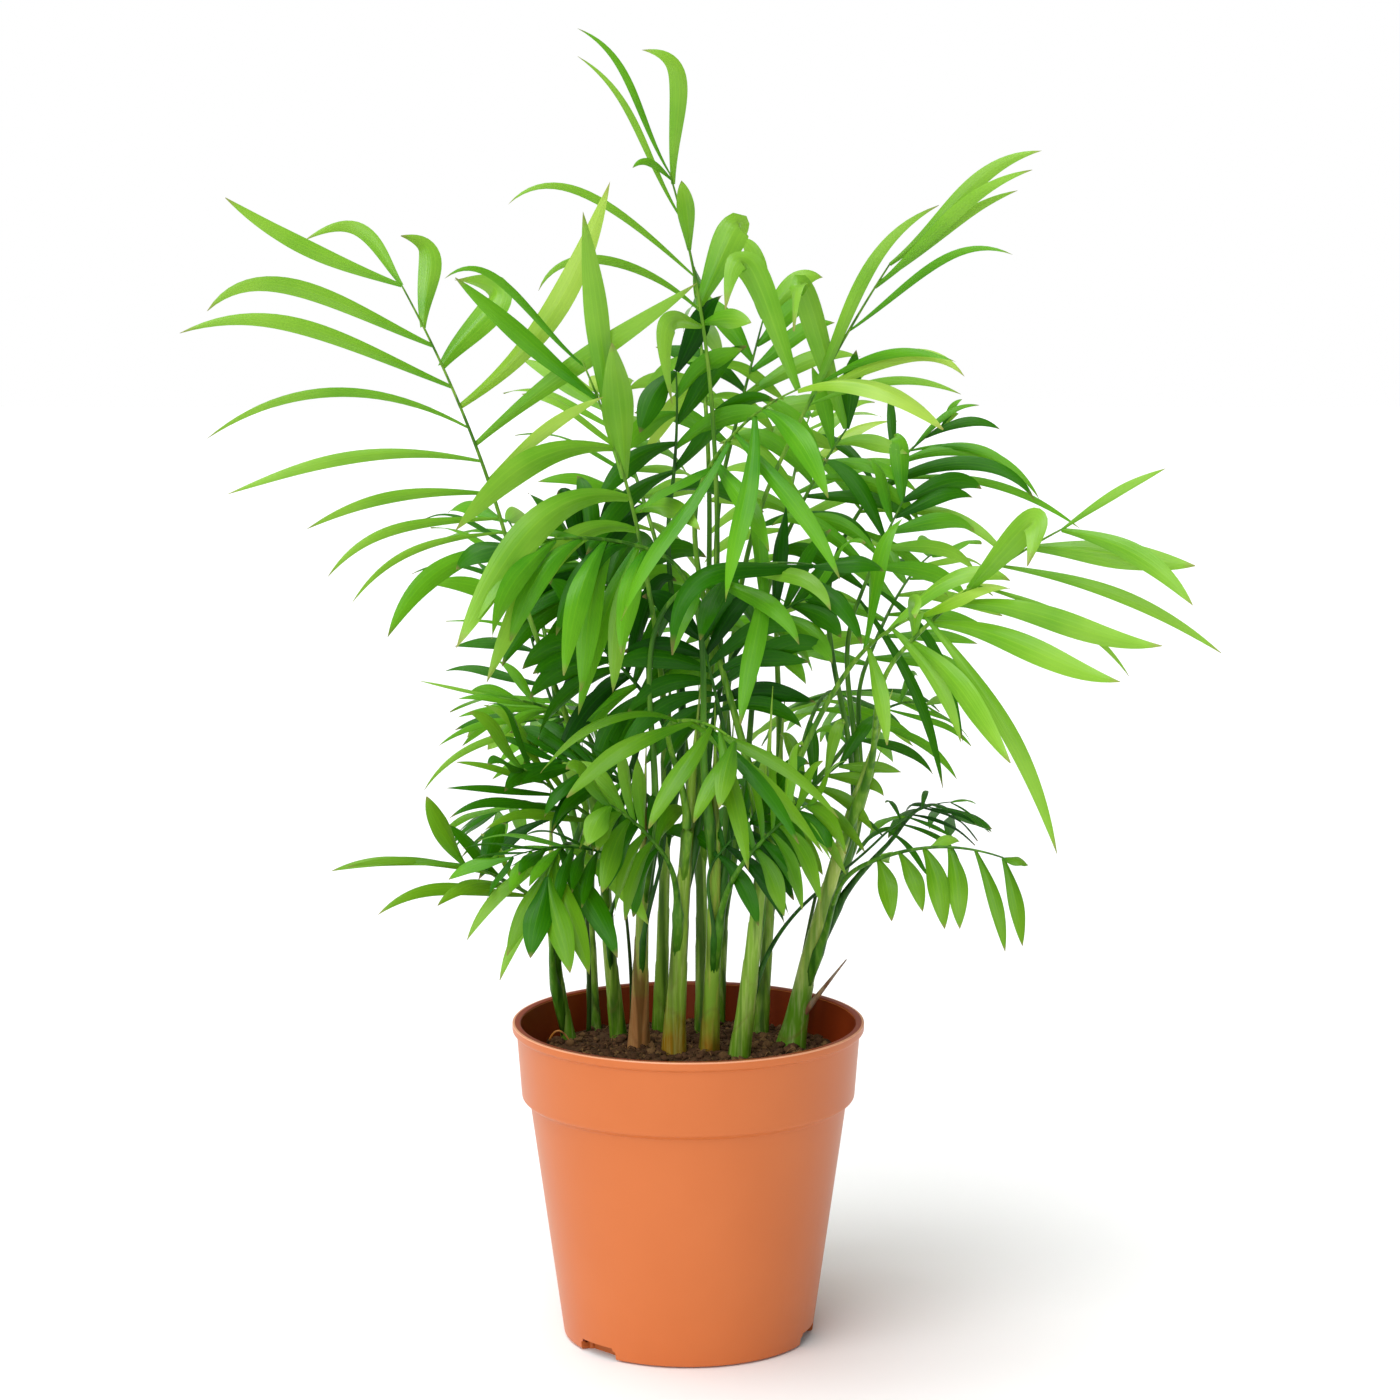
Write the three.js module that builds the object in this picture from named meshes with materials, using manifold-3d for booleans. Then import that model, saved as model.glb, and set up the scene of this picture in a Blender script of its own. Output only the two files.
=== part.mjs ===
// A young cat palm: a dozen feather-leaved seedlings grown together in one plastic nursery pot.
// Millimetres, +Z up, origin at the centre of the pot's flat underside, -Y is the front.
// The pot is a hollow lathe with three drain notches, the compost is a domed plug inside it, each
// seedling stem is a tapering leaning rod, and each frond is a stalk with a thin curved blade.
import * as THREE from 'three';
import { mergeVertices } from 'three/addons/utils/BufferGeometryUtils.js';
import Module from 'manifold-3d';

const wasm = await Module();
wasm.setup();

// ---------------------------------------------------------------------------------------- sizes
const GAP = 0.3;               // clearance kept between neighbouring solids
const POT_SIDES = 30;
const POT_HEIGHT = 109.5;
const RIM_R = 60;              // outside radius of the rolled lip
const LIP_HEIGHT = 3.4;
const LIP_FLARE = 0.7;
const LIP_ROUND = 0.8;
const COLLAR_TOP_R = 58.5;
const COLLAR_FOOT_R = 56.8;
const COLLAR_FOOT_Z = 83.8;
const WALL_TOP_R = 54.1;       // body just under the collar
const WALL_TOP_Z = 82.0;
const BASE_R = 42.8;
const BASE_EDGE = 2.2;         // rounding of the bottom edge
const WALL = 1.4;
const FLOOR = 2.4;

const NOTCH_ANGLES = [-136, -16, 104];   // degrees from +X, one is half hidden at the right
const NOTCH_WIDTH = 17;
const NOTCH_HEIGHT = 4.6;
const NOTCH_DEPTH = 5.5;

const SOIL_EDGE_Z = 96.5;      // compost where it meets the wall
const SOIL_DOME = 4;           // how much higher it is in the middle
const SOIL_RINGS = 2;

const STEM_SIDES = 5;
const STEM_STATIONS = [0, 0.08, 0.2, 0.45, 0.72, 1];
const STEM_DEPTH = 3;          // how far the axis starts under the compost
const STEM_WAIST = 0.78;       // radius just above the swollen foot, as a share of the foot's
const STEM_SWELL = 9;          // how fast the swelling dies away up the stem
const STALK_SIDES = 3;
const STALK_STATIONS = [0, 0.12, 0.25, 0.4, 0.56];   // the last is a little up the midrib
const CORE_STATIONS = [0.5, 0.75, 1];
const STALK_R = [1.9, 1.15];   // at the stem and where the blade starts
const STALK_START = 0.9;       // from the stem's skin to the stalk's axis
const STALK_SPLAY = 0.25;      // how far a stalk turns away from its stem at once
const STALK_PULL = [0.38, 0.34];   // handles of the stalk's curve, as shares of its length
const CORE_R = 0.9;            // midrib that stays whole where two blades cross
const BLADE_COLUMNS = 4;
const ROW_LENGTH = 26;         // a blade has a row of facets for about each such length of midrib
const FEWEST_ROWS = 2;
const BLADE_HALF = 0.45;       // half the blade's thickness at its rim
const BLADE_RIDGE = 0.45;      // added along the midrib
const BLADE_START = 0.03;      // fraction of the midrib below the lowest leaflets
const END_START = 0.88;        // where on the midrib a leaflet with its own tip starts
const END_WIDTHS = [5, 9, 1.5];   // of that leaflet at its foot, middle and tip
const SHORTEST = 0.72;         // first and last leaflets against the longest
const LAST_DROOP = 0.4;        // sag of the last leaflets against the first
const EARLY_LENGTH = 0.08;     // shifts the longest leaflets a little below the middle
const LEAFLET_BEND = 0.35;     // how soon a leaflet turns from its heading to its tip
const FINEST = 0.1;            // slivers smaller than this are merged away after the cuts

const POT_COLOUR = '#e2824f';
const SOIL_COLOUR = '#3a2618';
const STEM_COLOUR = '#7a9a3c';
const FROND_COLOUR = '#4f9a1c';

// Seedling stems: where each stands, where its sheath ends and its radius at foot and top.
const STEMS = {
  front_left: { foot: [-41, 22], top: [-47, 16, 150], bend: -3, radius: [2.6, 1.9] },
  left: { foot: [-24, 22], top: [-29, 12, 176], bend: -2, radius: [2.8, 2] },
  tan: { foot: [-17, 5], top: [-15, -6, 170], bend: 0, radius: [3.8, 1.9] },
  inner_left: { foot: [-10, 27], top: [-7, 20, 196], bend: 0, radius: [2.6, 1.9] },
  middle: { foot: [-5, -2], top: [1, -10, 190], bend: -1, radius: [4, 2.2] },
  brown: { foot: [7, -2], top: [9, -12, 182], bend: 1, radius: [3.3, 2] },
  bright: { foot: [17, -8], top: [26, -16, 188], bend: 2, radius: [3.5, 2.2] },
  right: { foot: [35, 12], top: [57, 2, 186], bend: -3, radius: [4.8, 2.4] },
  inner_back: { foot: [5, 24], top: [4, 30, 186], bend: 0, radius: [2.6, 1.8] },
  back_left: { foot: [-33, 38], top: [-36, 52, 160], bend: 0, radius: [2.4, 1.7] },
  back_right: { foot: [25, 32], top: [31, 42, 178], bend: 0, radius: [2.6, 1.8] },
  back: { foot: [10, 46], top: [14, 60, 168], bend: 0, radius: [2.5, 1.7] },
  far_right: { foot: [34, 28], top: [56, 44, 160], bend: 0, radius: [2.6, 1.8] },
};

// Fronds. leave: how far up its stem the stalk parts, neck: the lowest leaflets, tip: the end of
// the midrib, bow: how far the midrib's middle stands off the straight line, face: azimuth and
// height the upper side looks to, reach: longest leaflet left and right, spread: angle off the
// midrib at the bottom and top for left then right, droop: sag of the leaflets left and right,
// ends: the last leaflets' tips where they stand out.
const FRONDS = {
  left_high: { stem: 'left', leave: 1, neck: [-58, -20, 270], tip: [-92, -38, 361],
    bow: [6, 0, 1], face: [-90, 15], reach: [94, 92],
    spread: [68, 22, 60, 10], droop: [0.3, 0.3],
    ends: [[-148, -40, 389], [-122, -45, 375]] },
  top: { stem: 'middle', leave: 1, neck: [8, 8, 318], tip: [-6, 0, 396],
    bow: [4, 0, 2], face: [-90, 10], reach: [74, 48],
    spread: [60, 8, 26, 18], droop: [0.3, 0.08],
    ends: [[-36, -6, 443], [-16, -10, 436]] },
  right_high: { stem: 'inner_back', leave: 0.9, neck: [30, 22, 296], tip: [68, 25, 365],
    bow: [-2, 0, 2], face: [-70, 20], reach: [70, 58],
    spread: [10, 6, 62, 14], droop: [0.1, 0.6],
    ends: [[84, 20, 387], [120, 20, 404]] },
  right_wide: { stem: 'right', leave: 1, neck: [70, -42, 243], tip: [118, -74, 286],
    bow: [-4, 0, 4], face: [-75, 35], reach: [34, 78],
    spread: [70, 26, 48, 20], droop: [0.9, 0.35],
    ends: [[150, -80, 305], null] },
  right_hanging: { stem: 'bright', leave: 0.9, neck: [56, -25, 238], tip: [76, -50, 256],
    bow: [-2, 0, 3], face: [-80, 40], reach: [50, 60],
    spread: [60, 26, 60, 20], droop: [0.6, 0.6],
    ends: [null, [114, -60, 178]] },
  front_high: { stem: 'bright', leave: 1, neck: [6, -15, 298], tip: [35, -58, 329],
    bow: [-4, 0, 6], face: [-75, 55], reach: [50, 60],
    spread: [75, 30, 75, 25], droop: [0.7, 0.7],
    ends: [[20, -62, 369], [81, -75, 318]] },
  left_inner: { stem: 'inner_left', leave: 1, neck: [-15, -20, 272], tip: [-34, -40, 337],
    bow: [4, 0, 0], face: [-90, 20], reach: [78, 50],
    spread: [85, 40, 36, 5], droop: [0.6, 0.1],
    ends: [[-80, -50, 364], null] },
  front_right: { stem: 'tan', leave: 1, neck: [2, -20, 262], tip: [41, -34, 270],
    bow: [0, 0, 6], face: [-90, 60], reach: [32, 38],
    spread: [80, 30, 70, 30], droop: [1.0, 1.0] },
  front_left: { stem: 'brown', leave: 1, neck: [-12, -35, 275], tip: [-53, -64, 280],
    bow: [0, 0, 6], face: [-90, 60], reach: [58, 32],
    spread: [55, 25, 75, 35], droop: [0.9, 0.9] },
  front_low: { stem: 'middle', leave: 0.86, neck: [-4, -45, 220], tip: [15, -84, 220],
    bow: [0, 0, 5], face: [-90, 75], reach: [46, 42],
    spread: [80, 30, 80, 30], droop: [0.9, 0.9] },
  left_low: { stem: 'front_left', leave: 0.4, neck: [-52, 0, 152], tip: [-74, -22, 168],
    bow: [-2, 0, 3], face: [-80, 60], reach: [46, 30],
    spread: [75, 40, 60, 10], droop: [0.45, 0.1],
    ends: [[-116, -25, 165], [-86, -22, 190]] },
  left_hanging: { stem: 'front_left', leave: 0.72, neck: [-40, -6, 172], tip: [-46, -42, 168],
    bow: [0, 0, 6], face: [-90, 70], reach: [42, 42],
    spread: [80, 35, 80, 35], droop: [1.0, 1.0] },
  right_low: { stem: 'right', leave: 0.4, neck: [60, -20, 168], tip: [104, -36, 173],
    bow: [0, 0, 9], face: [-80, 50], reach: [24, 32],
    spread: [75, 35, 60, 30], droop: [0.9, 0.9] },
  left_middle: { stem: 'inner_left', leave: 0.8, neck: [-40, 20, 200], tip: [-57, 42, 246],
    bow: [-3, 0, 0], face: [-100, 20], reach: [40, 30],
    spread: [80, 30, 70, 30], droop: [0.25, 0.25] },
  left_lower: { stem: 'left', leave: 0.84, neck: [-30, -12, 180], tip: [-54, -32, 202],
    bow: [-3, 0, 3], face: [-90, 50], reach: [42, 36],
    spread: [70, 30, 70, 30], droop: [0.5, 0.5] },
  right_inner: { stem: 'far_right', leave: 0.9, neck: [54, 35, 272], tip: [88, 55, 308],
    bow: [-3, 0, 6], face: [-70, 40], reach: [40, 46],
    spread: [65, 25, 70, 25], droop: [0.6, 0.6] },
  right_middle: { stem: 'back_right', leave: 0.85, neck: [54, 44, 196], tip: [84, 68, 208],
    bow: [0, 0, 12], face: [-80, 50], reach: [34, 40],
    spread: [60, 30, 60, 30], droop: [0.6, 0.6] },
  right_small: { stem: 'bright', leave: 0.3, neck: [66, 32, 166], tip: [92, 50, 176],
    bow: [0, 0, 6], face: [-80, 60], reach: [30, 30],
    spread: [65, 30, 65, 30], droop: [0.4, 0.4] },
  centre_high: { stem: 'back', leave: 1, neck: [14, 46, 300], tip: [26, 58, 345],
    bow: [0, 0, 0], face: [-90, 20], reach: [40, 40],
    spread: [60, 30, 60, 25], droop: [0.5, 0.5] },
  centre_inner: { stem: 'inner_left', leave: 0.9, neck: [-6, 20, 285], tip: [-4, 10, 330],
    bow: [2, 0, 0], face: [-90, 30], reach: [40, 36],
    spread: [60, 30, 50, 25], droop: [0.5, 0.5] },
  centre_low: { stem: 'brown', leave: 0.72, neck: [11, -8, 216], tip: [5, -12, 242],
    bow: [0, -3, 0], face: [-90, 20], reach: [30, 32],
    spread: [80, 35, 80, 35], droop: [0.7, 0.7] },
  centre_left: { stem: 'tan', leave: 0.8, neck: [-12, 2, 218], tip: [-32, -6, 241],
    bow: [0, 0, 3], face: [-90, 30], reach: [34, 32],
    spread: [75, 30, 75, 30], droop: [0.8, 0.8] },
  centre_left_high: { stem: 'left', leave: 0.93, neck: [-20, 14, 248], tip: [-37, 14, 267],
    bow: [0, 0, 3], face: [-90, 35], reach: [36, 34],
    spread: [70, 30, 75, 30], droop: [0.8, 0.8] },
  centre_right: { stem: 'middle', leave: 0.8, neck: [20, 6, 240], tip: [39, -6, 255],
    bow: [0, 0, 3], face: [-90, 30], reach: [34, 36],
    spread: [75, 30, 75, 30], droop: [0.8, 0.8] },
  right_upper: { stem: 'right', leave: 0.82, neck: [57, 14, 250], tip: [73, 22, 285],
    bow: [0, 0, 3], face: [-80, 25], reach: [36, 36],
    spread: [70, 30, 70, 30], droop: [0.7, 0.7] },
  right_upper_inner: { stem: 'back', leave: 0.8, neck: [36, 34, 277], tip: [54, 30, 309],
    bow: [0, 0, 3], face: [-85, 25], reach: [34, 36],
    spread: [70, 30, 70, 30], droop: [0.6, 0.6] },
  low_right: { stem: 'bright', leave: 0.55, neck: [30, 4, 175], tip: [51, 4, 197],
    bow: [0, 0, 3], face: [-85, 35], reach: [32, 34],
    spread: [75, 30, 75, 30], droop: [0.7, 0.7] },
  low_right_front: { stem: 'brown', leave: 0.55, neck: [21, -28, 173], tip: [39, -44, 192],
    bow: [0, 0, 3], face: [-85, 40], reach: [28, 32],
    spread: [75, 30, 75, 30], droop: [0.8, 0.8] },
  left_thin: { stem: 'front_left', leave: 1, neck: [-39, 12, 211], tip: [-57, 6, 219],
    bow: [0, 0, 2], face: [-90, 40], reach: [28, 26],
    spread: [60, 25, 75, 30], droop: [0.3, 0.5] },
  low_centre: { stem: 'middle', leave: 0.55, neck: [-9, -24, 173], tip: [-25, -44, 192],
    bow: [0, 0, 3], face: [-90, 40], reach: [32, 28],
    spread: [75, 30, 75, 30], droop: [0.8, 0.8] },
  back_left_high: { stem: 'back_left', leave: 1, neck: [-50, 58, 232], tip: [-66, 118, 268],
    bow: [0, 0, 12], face: [90, 60], reach: [44, 44],
    spread: [74, 26, 74, 26], droop: [0.4, 0.4] },
  back_left_mid: { stem: 'back_left', leave: 0.82, neck: [-34, 68, 200], tip: [-58, 125, 196],
    bow: [0, 0, 16], face: [90, 60], reach: [42, 42],
    spread: [74, 26, 74, 26], droop: [0.6, 0.6] },
  back_high: { stem: 'inner_back', leave: 0.8, neck: [-12, 52, 270], tip: [-34, 112, 316],
    bow: [0, 0, 12], face: [90, 60], reach: [48, 48],
    spread: [74, 26, 74, 26], droop: [0.4, 0.4] },
  back_mid: { stem: 'back', leave: 0.88, neck: [4, 60, 235], tip: [0, 130, 240],
    bow: [0, 0, 18], face: [90, 60], reach: [48, 48],
    spread: [74, 26, 74, 26], droop: [0.5, 0.5] },
  back_right_high: { stem: 'back_right', leave: 1, neck: [32, 62, 260], tip: [44, 122, 306],
    bow: [0, 0, 12], face: [90, 60], reach: [48, 48],
    spread: [74, 26, 74, 26], droop: [0.4, 0.4] },
  back_right_mid: { stem: 'back_right', leave: 0.72, neck: [44, 64, 205], tip: [60, 128, 196],
    bow: [0, 0, 16], face: [90, 60], reach: [42, 42],
    spread: [74, 26, 74, 26], droop: [0.6, 0.6] },
  far_right_high: { stem: 'far_right', leave: 1, neck: [62, 60, 222], tip: [88, 112, 256],
    bow: [0, 0, 12], face: [60, 60], reach: [44, 40],
    spread: [74, 26, 74, 26], droop: [0.5, 0.5] },
  far_right_low: { stem: 'far_right', leave: 0.7, neck: [74, 50, 166], tip: [96, 92, 164],
    bow: [0, 0, 12], face: [60, 60], reach: [34, 34],
    spread: [74, 26, 74, 26], droop: [0.7, 0.7] },
  back_top: { stem: 'inner_back', leave: 1, neck: [6, 40, 315], tip: [2, 72, 362],
    bow: [0, 0, 4], face: [90, 30], reach: [46, 46],
    spread: [74, 26, 74, 26], droop: [0.3, 0.3] },
  back_left_low: { stem: 'back_left', leave: 0.66, neck: [-48, 58, 168], tip: [-70, 100, 164],
    bow: [0, 0, 10], face: [120, 60], reach: [32, 32],
    spread: [74, 26, 74, 26], droop: [0.7, 0.7] },
  back_low: { stem: 'back', leave: 0.74, neck: [20, 72, 176], tip: [22, 118, 160],
    bow: [0, 0, 12], face: [90, 60], reach: [34, 34],
    spread: [74, 26, 74, 26], droop: [0.7, 0.7] },
};

// ------------------------------------------------------------------------------- small helpers
const toRadians = THREE.MathUtils.degToRad;
const lerp = THREE.MathUtils.lerp;

function vec(list) {
  return new THREE.Vector3(...list);
}

function material(colour, roughness) {
  return new THREE.MeshStandardMaterial({ color: colour, roughness, metalness: 0 });
}

function closedMesh(geometry) {
  const bare = geometry.clone();
  bare.deleteAttribute('normal');
  bare.deleteAttribute('uv');
  return mergeVertices(bare, 1e-4);
}

function toSolid(geometry) {
  const merged = closedMesh(geometry);
  const mesh = new wasm.Mesh({
    numProp: 3,
    vertProperties: new Float32Array(merged.attributes.position.array),
    triVerts: new Uint32Array(merged.index.array),
  });
  return new wasm.Manifold(mesh);
}

function toGeometry(solid) {
  const mesh = solid.getMesh();
  const geometry = new THREE.BufferGeometry();
  geometry.setAttribute('position', new THREE.BufferAttribute(new Float32Array(mesh.vertProperties), 3));
  geometry.setIndex(new THREE.BufferAttribute(new Uint32Array(mesh.triVerts), 1));
  geometry.computeVertexNormals();
  return geometry;
}

function largestPiece(solid) {
  const pieces = solid.decompose();
  pieces.sort((a, b) => b.volume() - a.volume());
  return pieces[0];
}

function moveVertices(geometry, rule) {
  const position = geometry.attributes.position;
  for (let i = 0; i < position.count; i += 1) {
    const moved = rule(position.getX(i), position.getY(i), position.getZ(i));
    position.setXYZ(i, moved.x, moved.y, moved.z);
  }
  return geometry;
}

// ------------------------------------------------------------------------------ pot and compost
function wallInside(z) {
  const t = (z - FLOOR) / (WALL_TOP_Z - FLOOR);
  if (z <= WALL_TOP_Z) {
    return lerp(BASE_R - WALL, WALL_TOP_R - WALL, t);
  }
  const u = (z - COLLAR_FOOT_Z) / (POT_HEIGHT - LIP_ROUND - COLLAR_FOOT_Z);
  return lerp(COLLAR_FOOT_R - WALL, COLLAR_TOP_R - WALL, Math.max(0, u));
}

function lathe(profile, sides) {
  const points = profile.map(([r, z]) => new THREE.Vector2(r, z));
  const geometry = new THREE.LatheGeometry(points, sides);
  geometry.rotateX(Math.PI / 2);
  return geometry;
}

function potSolid() {
  const lipFoot = POT_HEIGHT - LIP_HEIGHT;
  const body = toSolid(lathe([
    [0, 0],
    [BASE_R - BASE_EDGE, 0],
    [BASE_R, BASE_EDGE],
    [WALL_TOP_R, WALL_TOP_Z],
    [COLLAR_FOOT_R, COLLAR_FOOT_Z],
    [COLLAR_TOP_R, lipFoot],
    [RIM_R, lipFoot + LIP_FLARE],
    [RIM_R, POT_HEIGHT - LIP_ROUND],
    [RIM_R - LIP_ROUND, POT_HEIGHT],
    [COLLAR_TOP_R - WALL + LIP_ROUND, POT_HEIGHT],
    [COLLAR_TOP_R - WALL, POT_HEIGHT - LIP_ROUND],
    [wallInside(COLLAR_FOOT_Z), COLLAR_FOOT_Z],
    [wallInside(WALL_TOP_Z), WALL_TOP_Z],
    [wallInside(FLOOR), FLOOR],
    [0, FLOOR],
  ], POT_SIDES));
  let pot = body;
  for (const angle of NOTCH_ANGLES) {
    const cutter = new THREE.BoxGeometry(NOTCH_DEPTH * 2, NOTCH_WIDTH, NOTCH_HEIGHT * 2);
    cutter.translate(BASE_R, 0, 0);
    cutter.rotateZ(toRadians(angle));
    pot = pot.subtract(toSolid(cutter));
  }
  return pot;
}

function soilHeight(x, y) {
  const edge = wallInside(SOIL_EDGE_Z);
  const share = Math.min(1, Math.hypot(x, y) / edge);
  return SOIL_EDGE_Z + SOIL_DOME * (1 - share * share);
}

function soilSolid(lift) {
  const bottom = FLOOR + GAP;
  const profile = [[0, bottom], [wallInside(bottom) - GAP, bottom]];
  for (const z of [WALL_TOP_Z, COLLAR_FOOT_Z]) {
    profile.push([wallInside(z) - GAP, z]);
  }
  const edge = wallInside(SOIL_EDGE_Z) - GAP;
  for (let i = 0; i < SOIL_RINGS; i += 1) {
    const r = edge * (1 - i / SOIL_RINGS);
    profile.push([r, soilHeight(r, 0) + lift]);
  }
  profile.push([0, soilHeight(0, 0) + lift]);
  return toSolid(lathe(profile, POT_SIDES));
}

// ------------------------------------------------------------------------------ rods on a curve
// A lathed rod bent along a curve, with one ring of its own radius at each of the stations.
// across is a direction that the curve never runs along.
function bentRod(curve, stations, radii, sides, across) {
  const profile = [[0, 0]];
  radii.forEach((radius, i) => profile.push([radius, i]));
  profile.push([0, radii.length - 1]);
  const geometry = lathe(profile, sides);
  return moveVertices(geometry, (x, y, z) => {
    const t = stations[Math.round(z)];
    const centre = curve.getPoint(t);
    const along = curve.getTangent(t);
    const right = across.clone().addScaledVector(along, -across.dot(along)).normalize();
    const up = along.clone().cross(right);
    return centre.addScaledVector(right, x).addScaledVector(up, y);
  });
}

function stemCurve(stem) {
  const [x, y] = stem.foot;
  const foot = new THREE.Vector3(x, y, soilHeight(x, y) - STEM_DEPTH);
  const top = vec(stem.top);
  const middle = foot.clone().add(top).multiplyScalar(0.5).add(new THREE.Vector3(stem.bend, 0, 0));
  return new THREE.QuadraticBezierCurve3(foot, middle, top);
}

// Swollen at the foot, then slimmer and nearly even up to where the stalks part.
function stemRadius(stem, t) {
  const [foot, top] = stem.radius;
  const swelling = Math.exp(-t * STEM_SWELL);
  return lerp(lerp(foot * STEM_WAIST, top, t), foot, swelling);
}

function stemSolid(stem, extra) {
  const radii = STEM_STATIONS.map((t) => stemRadius(stem, t) + extra);
  const rod = bentRod(stemCurve(stem), STEM_STATIONS, radii, STEM_SIDES, new THREE.Vector3(1, 0, 0));
  return toSolid(rod);
}

// ---------------------------------------------------------------------------------------- fronds
// Stalk and midrib in one curve: the stalk up to 0.5, the midrib from there to 1.
class Spine extends THREE.Curve {
  constructor(stalk, midrib) {
    super();
    this.stalk = stalk;
    this.midrib = midrib;
  }

  getPoint(t) {
    return t < 0.5 ? this.stalk.getPoint(t * 2) : this.midrib.getPoint(t * 2 - 1);
  }

  getTangent(t) {
    return t < 0.5 ? this.stalk.getTangent(t * 2) : this.midrib.getTangent(t * 2 - 1);
  }
}

function spineOf(frond) {
  const stem = STEMS[frond.stem];
  const axis = stemCurve(stem);
  const start = axis.getPoint(frond.leave);
  const neck = vec(frond.neck);
  const tip = vec(frond.tip);
  const outward = neck.clone().sub(start).setZ(0).normalize();
  start.addScaledVector(outward, stemRadius(stem, frond.leave) + STALK_START);
  const leave = axis.getTangent(frond.leave).addScaledVector(outward, STALK_SPLAY).normalize();
  const middle = neck.clone().add(tip).multiplyScalar(0.5).add(vec(frond.bow));
  const arrive = middle.clone().sub(neck).normalize();
  const length = start.distanceTo(neck);
  const stalk = new THREE.CubicBezierCurve3(
    start,
    start.clone().addScaledVector(leave, length * STALK_PULL[0]),
    neck.clone().addScaledVector(arrive, -length * STALK_PULL[1]),
    neck,
  );
  const midrib = new THREE.QuadraticBezierCurve3(neck, middle, tip);
  return new Spine(stalk, midrib);
}

// Across the whole frond: level, and square to the line from the stem to the tip.
function acrossOf(frond) {
  const run = vec(frond.tip).sub(vec(STEMS[frond.stem].top));
  const across = new THREE.Vector3(run.y, -run.x, 0);
  return across.length() > 1 ? across.normalize() : new THREE.Vector3(1, 0, 0);
}

function faceOf(frond) {
  const [azimuth, height] = frond.face.map(toRadians);
  return new THREE.Vector3(
    Math.cos(height) * Math.cos(azimuth),
    Math.cos(height) * Math.sin(azimuth),
    Math.sin(height),
  );
}

// Relative length of a leaflet at a fraction u of the midrib.
function leafletLength(u) {
  const phase = Math.min(1, u * (1 + 2 * EARLY_LENGTH) + EARLY_LENGTH);
  return SHORTEST + (1 - SHORTEST) * Math.sin(Math.PI * phase);
}

// The centre line of the leaflet that would grow at u: start, middle control and end.
function leaflet(frond, midrib, side, u) {
  const start = midrib.getPoint(u);
  const along = midrib.getTangent(u);
  const face = faceOf(frond);
  const normal = face.addScaledVector(along, -face.dot(along)).normalize();
  const outward = along.clone().cross(normal).multiplyScalar(side);
  const which = side < 0 ? 0 : 1;
  const [low, high] = frond.spread.slice(which * 2, which * 2 + 2);
  const angle = toRadians(lerp(low, high, u));
  const heading = along.clone().multiplyScalar(Math.cos(angle));
  heading.addScaledVector(outward, Math.sin(angle));
  const length = frond.reach[which] * leafletLength(u);
  const sag = new THREE.Vector3(0, 0, -frond.droop[which] * lerp(1, LAST_DROOP, u));
  const end = heading.clone().add(sag).normalize().multiplyScalar(length).add(start);
  const chord = end.clone().sub(start).normalize();
  const control = heading.clone().addScaledVector(chord, LEAFLET_BEND).normalize();
  control.multiplyScalar(length * 0.5).add(start);
  return { normal, along, line: new THREE.QuadraticBezierCurve3(start, control, end) };
}

// A point of the blade: across runs from -1 at the left tips to 1 at the right tips.
function bladePoint(frond, midrib, across, along) {
  const u = lerp(BLADE_START, 1, along);
  const side = across < 0 ? -1 : 1;
  return leaflet(frond, midrib, side, u).line.getPoint(Math.abs(across));
}

// The underside of a thin box takes the diagonals of the upper side, so that a warped quad keeps
// its thickness and doesn't cross itself.
function matchDiagonals(box) {
  const underside = box.groups.at(-1);
  const corners = box.index.array;
  for (let i = underside.start; i < underside.start + underside.count; i += 6) {
    const [a, b, d, , c] = corners.slice(i, i + 6);
    corners.set([a, b, c, a, c, d], i);
  }
  return box;
}

// A flat box bent to the blade's surface. extra grows it on every side.
function bladeSolid(frond, midrib, extra) {
  const rows = Math.max(FEWEST_ROWS, Math.round(midrib.getLength() / ROW_LENGTH));
  const geometry = matchDiagonals(new THREE.BoxGeometry(2, 1, 2, BLADE_COLUMNS, rows, 1));
  moveVertices(geometry, (x, y, z) => {
    const along = y + 0.5;
    const point = bladePoint(frond, midrib, x, along);
    const { normal } = leaflet(frond, midrib, 1, along);
    const ridge = BLADE_RIDGE * Math.max(0, 1 - 2 * Math.abs(x));
    const half = BLADE_HALF + ridge + extra;
    if (Math.abs(x) > 0.99) {
      const inner = bladePoint(frond, midrib, x * 0.9, along);
      point.addScaledVector(point.clone().sub(inner).normalize(), extra);
    }
    if (along < 0.01 || along > 0.99) {
      const back = midrib.getTangent(along).multiplyScalar(along < 0.5 ? -extra : extra);
      point.add(back);
    }
    return point.addScaledVector(normal, z * half);
  });
  return toSolid(geometry);
}

// A last leaflet whose tip stands out: a thin lozenge from near the midrib's end to that tip.
function endSolid(frond, midrib, tip, extra) {
  const start = midrib.getPoint(END_START);
  const run = vec(tip).sub(start);
  const { normal } = leaflet(frond, midrib, 1, END_START);
  const across = run.clone().cross(normal).normalize();
  const up = across.clone().cross(run).normalize();
  const geometry = new THREE.BoxGeometry(2, 1, 2, 1, END_WIDTHS.length - 1, 1);
  moveVertices(geometry, (x, y, z) => {
    const along = y + 0.5;
    const half = END_WIDTHS[Math.round(along * (END_WIDTHS.length - 1))] / 2 + extra;
    const point = start.clone().addScaledVector(run, along);
    point.addScaledVector(run, (Math.sign(y) * extra) / run.length());
    return point.addScaledVector(across, x * half).addScaledVector(up, z * (BLADE_HALF + extra));
  });
  return toSolid(geometry);
}

function wholeBlade(frond, midrib, extra) {
  const ends = (frond.ends ?? []).filter((tip) => tip !== null);
  return ends.reduce(
    (blade, tip) => blade.add(endSolid(frond, midrib, tip, extra)),
    bladeSolid(frond, midrib, extra),
  );
}

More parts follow.
